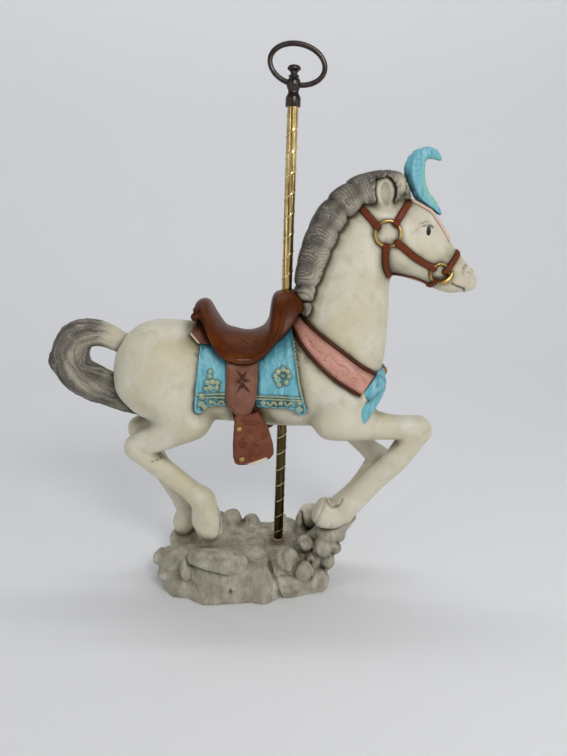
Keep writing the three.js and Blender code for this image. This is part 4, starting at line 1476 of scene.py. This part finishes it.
def gild(obj):
    """Marks the blanket's ornament: gold on it, and a dark wash around it."""
    points = vertex_points(obj)
    pattern = ornament(points[:, 0], points[:, 2])
    store(obj, "gold", np.clip(0.45 - pattern, 0, 0.5) * 2)
    store(obj, "gold_edge", np.exp(-((pattern - 0.5) / 0.45) ** 2))


def stains(obj):
    """Brown where the pole and a hoof meet the rocks, and a dark red fleck in front."""
    foot = pole_axis()[0]
    points = vertex_points(obj)
    off = np.hypot(points[:, 0] - foot[0], points[:, 1] - foot[1])
    pole = np.clip(1.25 - off / 13, 0, 1) * (points[:, 2] > 24)
    hoof = np.clip(1.2 - np.linalg.norm((points - [-92, 4, 34]) / [13, 16, 9], axis=1), 0, 0.5)
    store(obj, "stain", np.maximum(pole, hoof))
    fleck = np.linalg.norm((points - [-43, -57, 12.5]) / [1.3, 12, 2.2], axis=1)
    store(obj, "fleck", np.clip(1.6 - fleck, 0, 1))


def lighten(pieces):
    """Where the hair is nearly as pale as the body (the inner edge of the mane, the forelock,
    the tail's root and a streak along the tail), where it is darkest, and the plume's rim."""
    x, _, z = vertex_points(pieces["mane"]).T
    inner = line_distance(x, z, curve(MANE_INNER, 4))
    pale = np.clip(1 - inner / 11, 0, 1) * 0.8 + 0.7 * np.clip((x - 94) / 8, 0, 1)
    store(pieces["mane"], "pale", np.clip(pale, 0, 1))
    outer = limb_distance_at(pieces["mane"], MANE_LINE)
    store(pieces["mane"], "dark", np.clip(outer * 1.4 - 0.5, 0, 0.8))
    x, _, z = vertex_points(pieces["tail"]).T
    streak = line_distance(x, z, curve([[-142, 236], [-160, 239], [-175, 231], [-183, 214],
                                        [-172, 200], [-158, 196]]))
    root = np.clip((x + 158) / 14, 0, 1) * (z > 205)
    store(pieces["tail"], "pale", np.clip(root + 0.55 * np.exp(-(streak / 5) ** 2), 0, 1))
    low = np.clip((x + 172) / 40, 0, 1) * (z < 200)
    rim = np.clip(1 - line_distance(x, z, curve([[-182, 252], [-203, 224], [-196, 200],
                                                 [-176, 181], [-150, 172], [-126, 162]])) / 9, 0, 1)
    store(pieces["tail"], "dark", np.clip(0.7 * low + 0.7 * rim, 0, 1))
    x, _, z = vertex_points(pieces["plume"]).T
    edge = line_distance(x, z, curve([[134.5, 385], [128, 386.5], [122.5, 382.5], [121, 374],
                                      [123.5, 364], [131, 354]]))
    store(pieces["plume"], "pale", np.clip(1.3 - edge / 3, 0, 1))


def limb_distance_at(obj, stations):
    """How far each vertex is from the line through the stations, as a share of the half-width."""
    x, _, z = vertex_points(obj).T
    rows = curve(stations, 4)
    best = np.full(len(x), 9.0)
    for (x0, _, z0, half0, *_), (x1, _, z1, half1, *_) in zip(rows[:-1], rows[1:]):
        step = np.array([x1 - x0, z1 - z0])
        s = np.clip(((x - x0) * step[0] + (z - z0) * step[1]) / max(step @ step, 1e-6), 0, 1)
        gap = np.hypot(x - x0 - s * step[0], z - z0 - s * step[1])
        best = np.minimum(best, gap / (half0 + s * (half1 - half0)))
    return best


def build():
    brown = leather("chestnut_leather", "552402", "301505", "6e3808")
    tan = leather("tan_leather", "7e5443", "4c2b1c", "9a7160", 0.42)
    oxblood = leather("stirrup_leather", "74412e", "45210f", "926048", 0.38)
    bridle_leather = leather("bridle_leather", "6c321b", "40200f", "80452a", 0.38)
    trim = leather("collar_leather", "47220f", "2a1208", "5d3018")
    gilt = metal("ring_brass", "cba866", 0.3, "70501f", 0.7, 3).material
    cloth = turquoise()
    ribbon = turquoise("turquoise_paint", gold=False)
    pink, cream, strands = dusty_pink(), cream_strap(), hair()

    horse = horse_field(BODY_PITCH)
    collar, borders = collar_fields(horse)
    straps, rings = bridle_fields(horse)
    bow, beads = bow_fields(horse)
    forms = [
        ("horse_body", horse, bisque(), BODY_ADAPTIVITY),
        ("mane", mane_field(horse), strands, 0),
        ("tail", tail_field(), strands, 0),
        ("plume", plume_field(), ribbon, 0),
        ("saddle_seat", seat_field(), brown, 0),
        ("saddle_skirt", skirt_field(horse), tan, 0),
        ("blanket", blanket_field(horse), cloth, 0),
        ("breast_collar", collar, pink, 0),
        ("collar_borders", borders, trim, 0),
        ("bow", bow, ribbon, 0),
        ("bow_beads", beads, gilt, 0),
        ("bridle_straps", straps, bridle_leather, 0),
        ("bridle_rings", rings, gilt, 0),
        ("face_strap", face_strap_field(horse), cream, 0),
        ("rocks", rocks_field(), rock(), 0),
    ]
    for side, word in WORDS.items():
        forms += [(f"fender_{word}", fender_field(side), tan, 0),
                  (f"hanger_{word}", hanger_field(side), trim, 0),
                  (f"stirrup_{word}", stirrup_field(side), oxblood, 0),
                  (f"rivets_{word}", rivet_field(side), gilt, 0)]

    whole = Field(WHOLE_LOW, WHOLE_HIGH, WHOLE_PITCH)
    for _, field, _, _ in forms:
        low = field.low
        high = low + field.pitch * (np.array(field.value.shape) - 1)
        slices, axes = whole.window(low, high)
        part = Field(low, high, WHOLE_PITCH)
        part.value = whole.value[slices]
        part.low = np.array([a.ravel()[0] for a in axes], np.float32)
        whole.value[slices] = np.minimum(whole.value[slices], field.on_grid_of(part))

    by_name = {}
    for name, field, material, adaptivity in forms:
        obj = field_object(name, field, material, adaptivity)
        store_shade_masks(obj, whole)
        if field.carved is not None:
            store(obj, "carved", field.carved.sample(vertex_points(obj)))
        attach(obj, "root")
        by_name[name] = obj
    gild(by_name["blanket"])
    stains(by_name["rocks"])
    lighten(by_name)
    spots(by_name["horse_body"], "blush", BLUSH)
    spots(by_name["horse_body"], "smudge_and_shade", SMUDGE_AND_SHADE)
    across = np.abs(vertex_points(by_name["face_strap"])[:, 1])
    store(by_name["face_strap"], "stripe", np.exp(-((across - STRIPE_AT) / 1.5) ** 4))
    x, y, z = vertex_points(by_name["stirrup_near"]).T
    chip = np.clip(2.2 - line_distance(x, z, CHIP), 0, 1) * (y < -40)
    store(by_name["stirrup_near"], "chip", chip)
    x, y, z = vertex_points(by_name["saddle_skirt"]).T
    bare = line_distance(x, z, [SKIRT_OUTLINE[2], SKIRT_OUTLINE[3]])
    store(by_name["saddle_skirt"], "chip", np.clip(1.9 - bare, 0, 0.9) * (y < 0))
    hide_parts("horse_and_rocks")

    bronze = dark_bronze()
    metalwork = [(pole_object(pole_brass()), "pole", "pole_brass"),
                 (finial_object(bronze), "finial", "dark_bronze"),
                 (ring_object(bronze), "pull_ring", "ring_bronze")]
    for obj, node, slot in metalwork:
        store_shade_masks(obj, whole)
        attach(obj, "root")
        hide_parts(node)


def add_eyes():
    black = plain("eye_black", "040404", 0.3)
    for side, word in WORDS.items():
        field = side_field(side, (118, 132), (11, 23), (324, 338), EYE_PITCH)
        ellipsoid(field, [123.8, side * 16.6, 330.8], [3.2, 2.5, 4.5])
        eye = field_object(f"eye_{word}", field, black)
        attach(eye, "root")


# ---- stage, lights and camera ---------------------------------------------------------------

def add_stage():
    """A round pale floor that curves up into a wall and stays open above."""
    flat, bend, top = 0.9, 0.7, 2.4
    profile = [[0.002, 0], [0.3, 0], [0.6, 0]]
    for turn in np.linspace(0, np.pi / 2, 12):
        profile.append([flat + bend * np.sin(turn), bend * (1 - np.cos(turn))])
    profile += [[flat + bend, 1.2], [flat + bend, top]]
    points, faces = lathe(profile, 96)
    floor = mesh_object("pale_sweep", np.array(points) / MM, [faces[1]],
                        plain("pale_sweep", "eeeff1", 0.85))
    floor.data.flip_normals()


def area_light(name, place, aim, size, power, colour=(1, 1, 1)):
    data = bpy.data.lights.new(name, "AREA")
    data.shape = "RECTANGLE"
    data.size, data.size_y = size
    data.energy = power
    data.color = colour
    light = bpy.data.objects.new(name, data)
    light.visible_camera = False
    bpy.context.scene.collection.objects.link(light)
    light.location = place
    light.rotation_euler = (Vector(aim) - Vector(place)).to_track_quat("-Z", "Y").to_euler()


def add_lights():
    bpy.context.scene.view_settings.view_transform = "Standard"
    world = bpy.data.worlds.new("studio")
    bpy.context.scene.world = world
    world.use_nodes = True
    background = world.node_tree.nodes["Background"]
    background.inputs["Color"].default_value = (0.93, 0.96, 1.0, 1)
    background.inputs["Strength"].default_value = 0.20
    centre = (0, 0, 0.2)
    area_light("key", (0.38, -0.92, 0.9), centre, (0.35, 0.35), 5.4, (1, 0.98, 0.95))
    area_light("fill", (1.1, -0.8, 0.5), centre, (0.8, 0.8), 0.8)
    area_light("top", (0.05, 0.1, 1.5), centre, (0.7, 0.7), 0.4)
    area_light("backdrop", (0, 0.45, 1.9), (0, 1.6, 0.3), (1.6, 0.2), 9)
    area_light("left_strip", (-0.8, -0.75, 0.35), centre, (0.06, 1.0), 1.0)
    area_light("right_strip", (0.95, -0.55, 0.35), centre, (0.05, 1.0), 0.6)


SENSOR, FOCAL_PIXELS, IMAGE_HEIGHT = 36, 568, 756
CAMERA_PLACE = (0.0054, -0.500, 0.340)
CAMERA_DOWN = 15.57


def add_camera():
    data = bpy.data.cameras.new("camera")
    data.lens = SENSOR * FOCAL_PIXELS / IMAGE_HEIGHT
    camera = bpy.data.objects.new("camera", data)
    camera.location = CAMERA_PLACE
    camera.rotation_euler = (math.radians(90 - CAMERA_DOWN), 0, 0)
    bpy.context.scene.collection.objects.link(camera)
    bpy.context.scene.camera = camera


build()
add_eyes()
add_stage()
add_lights()
add_camera()
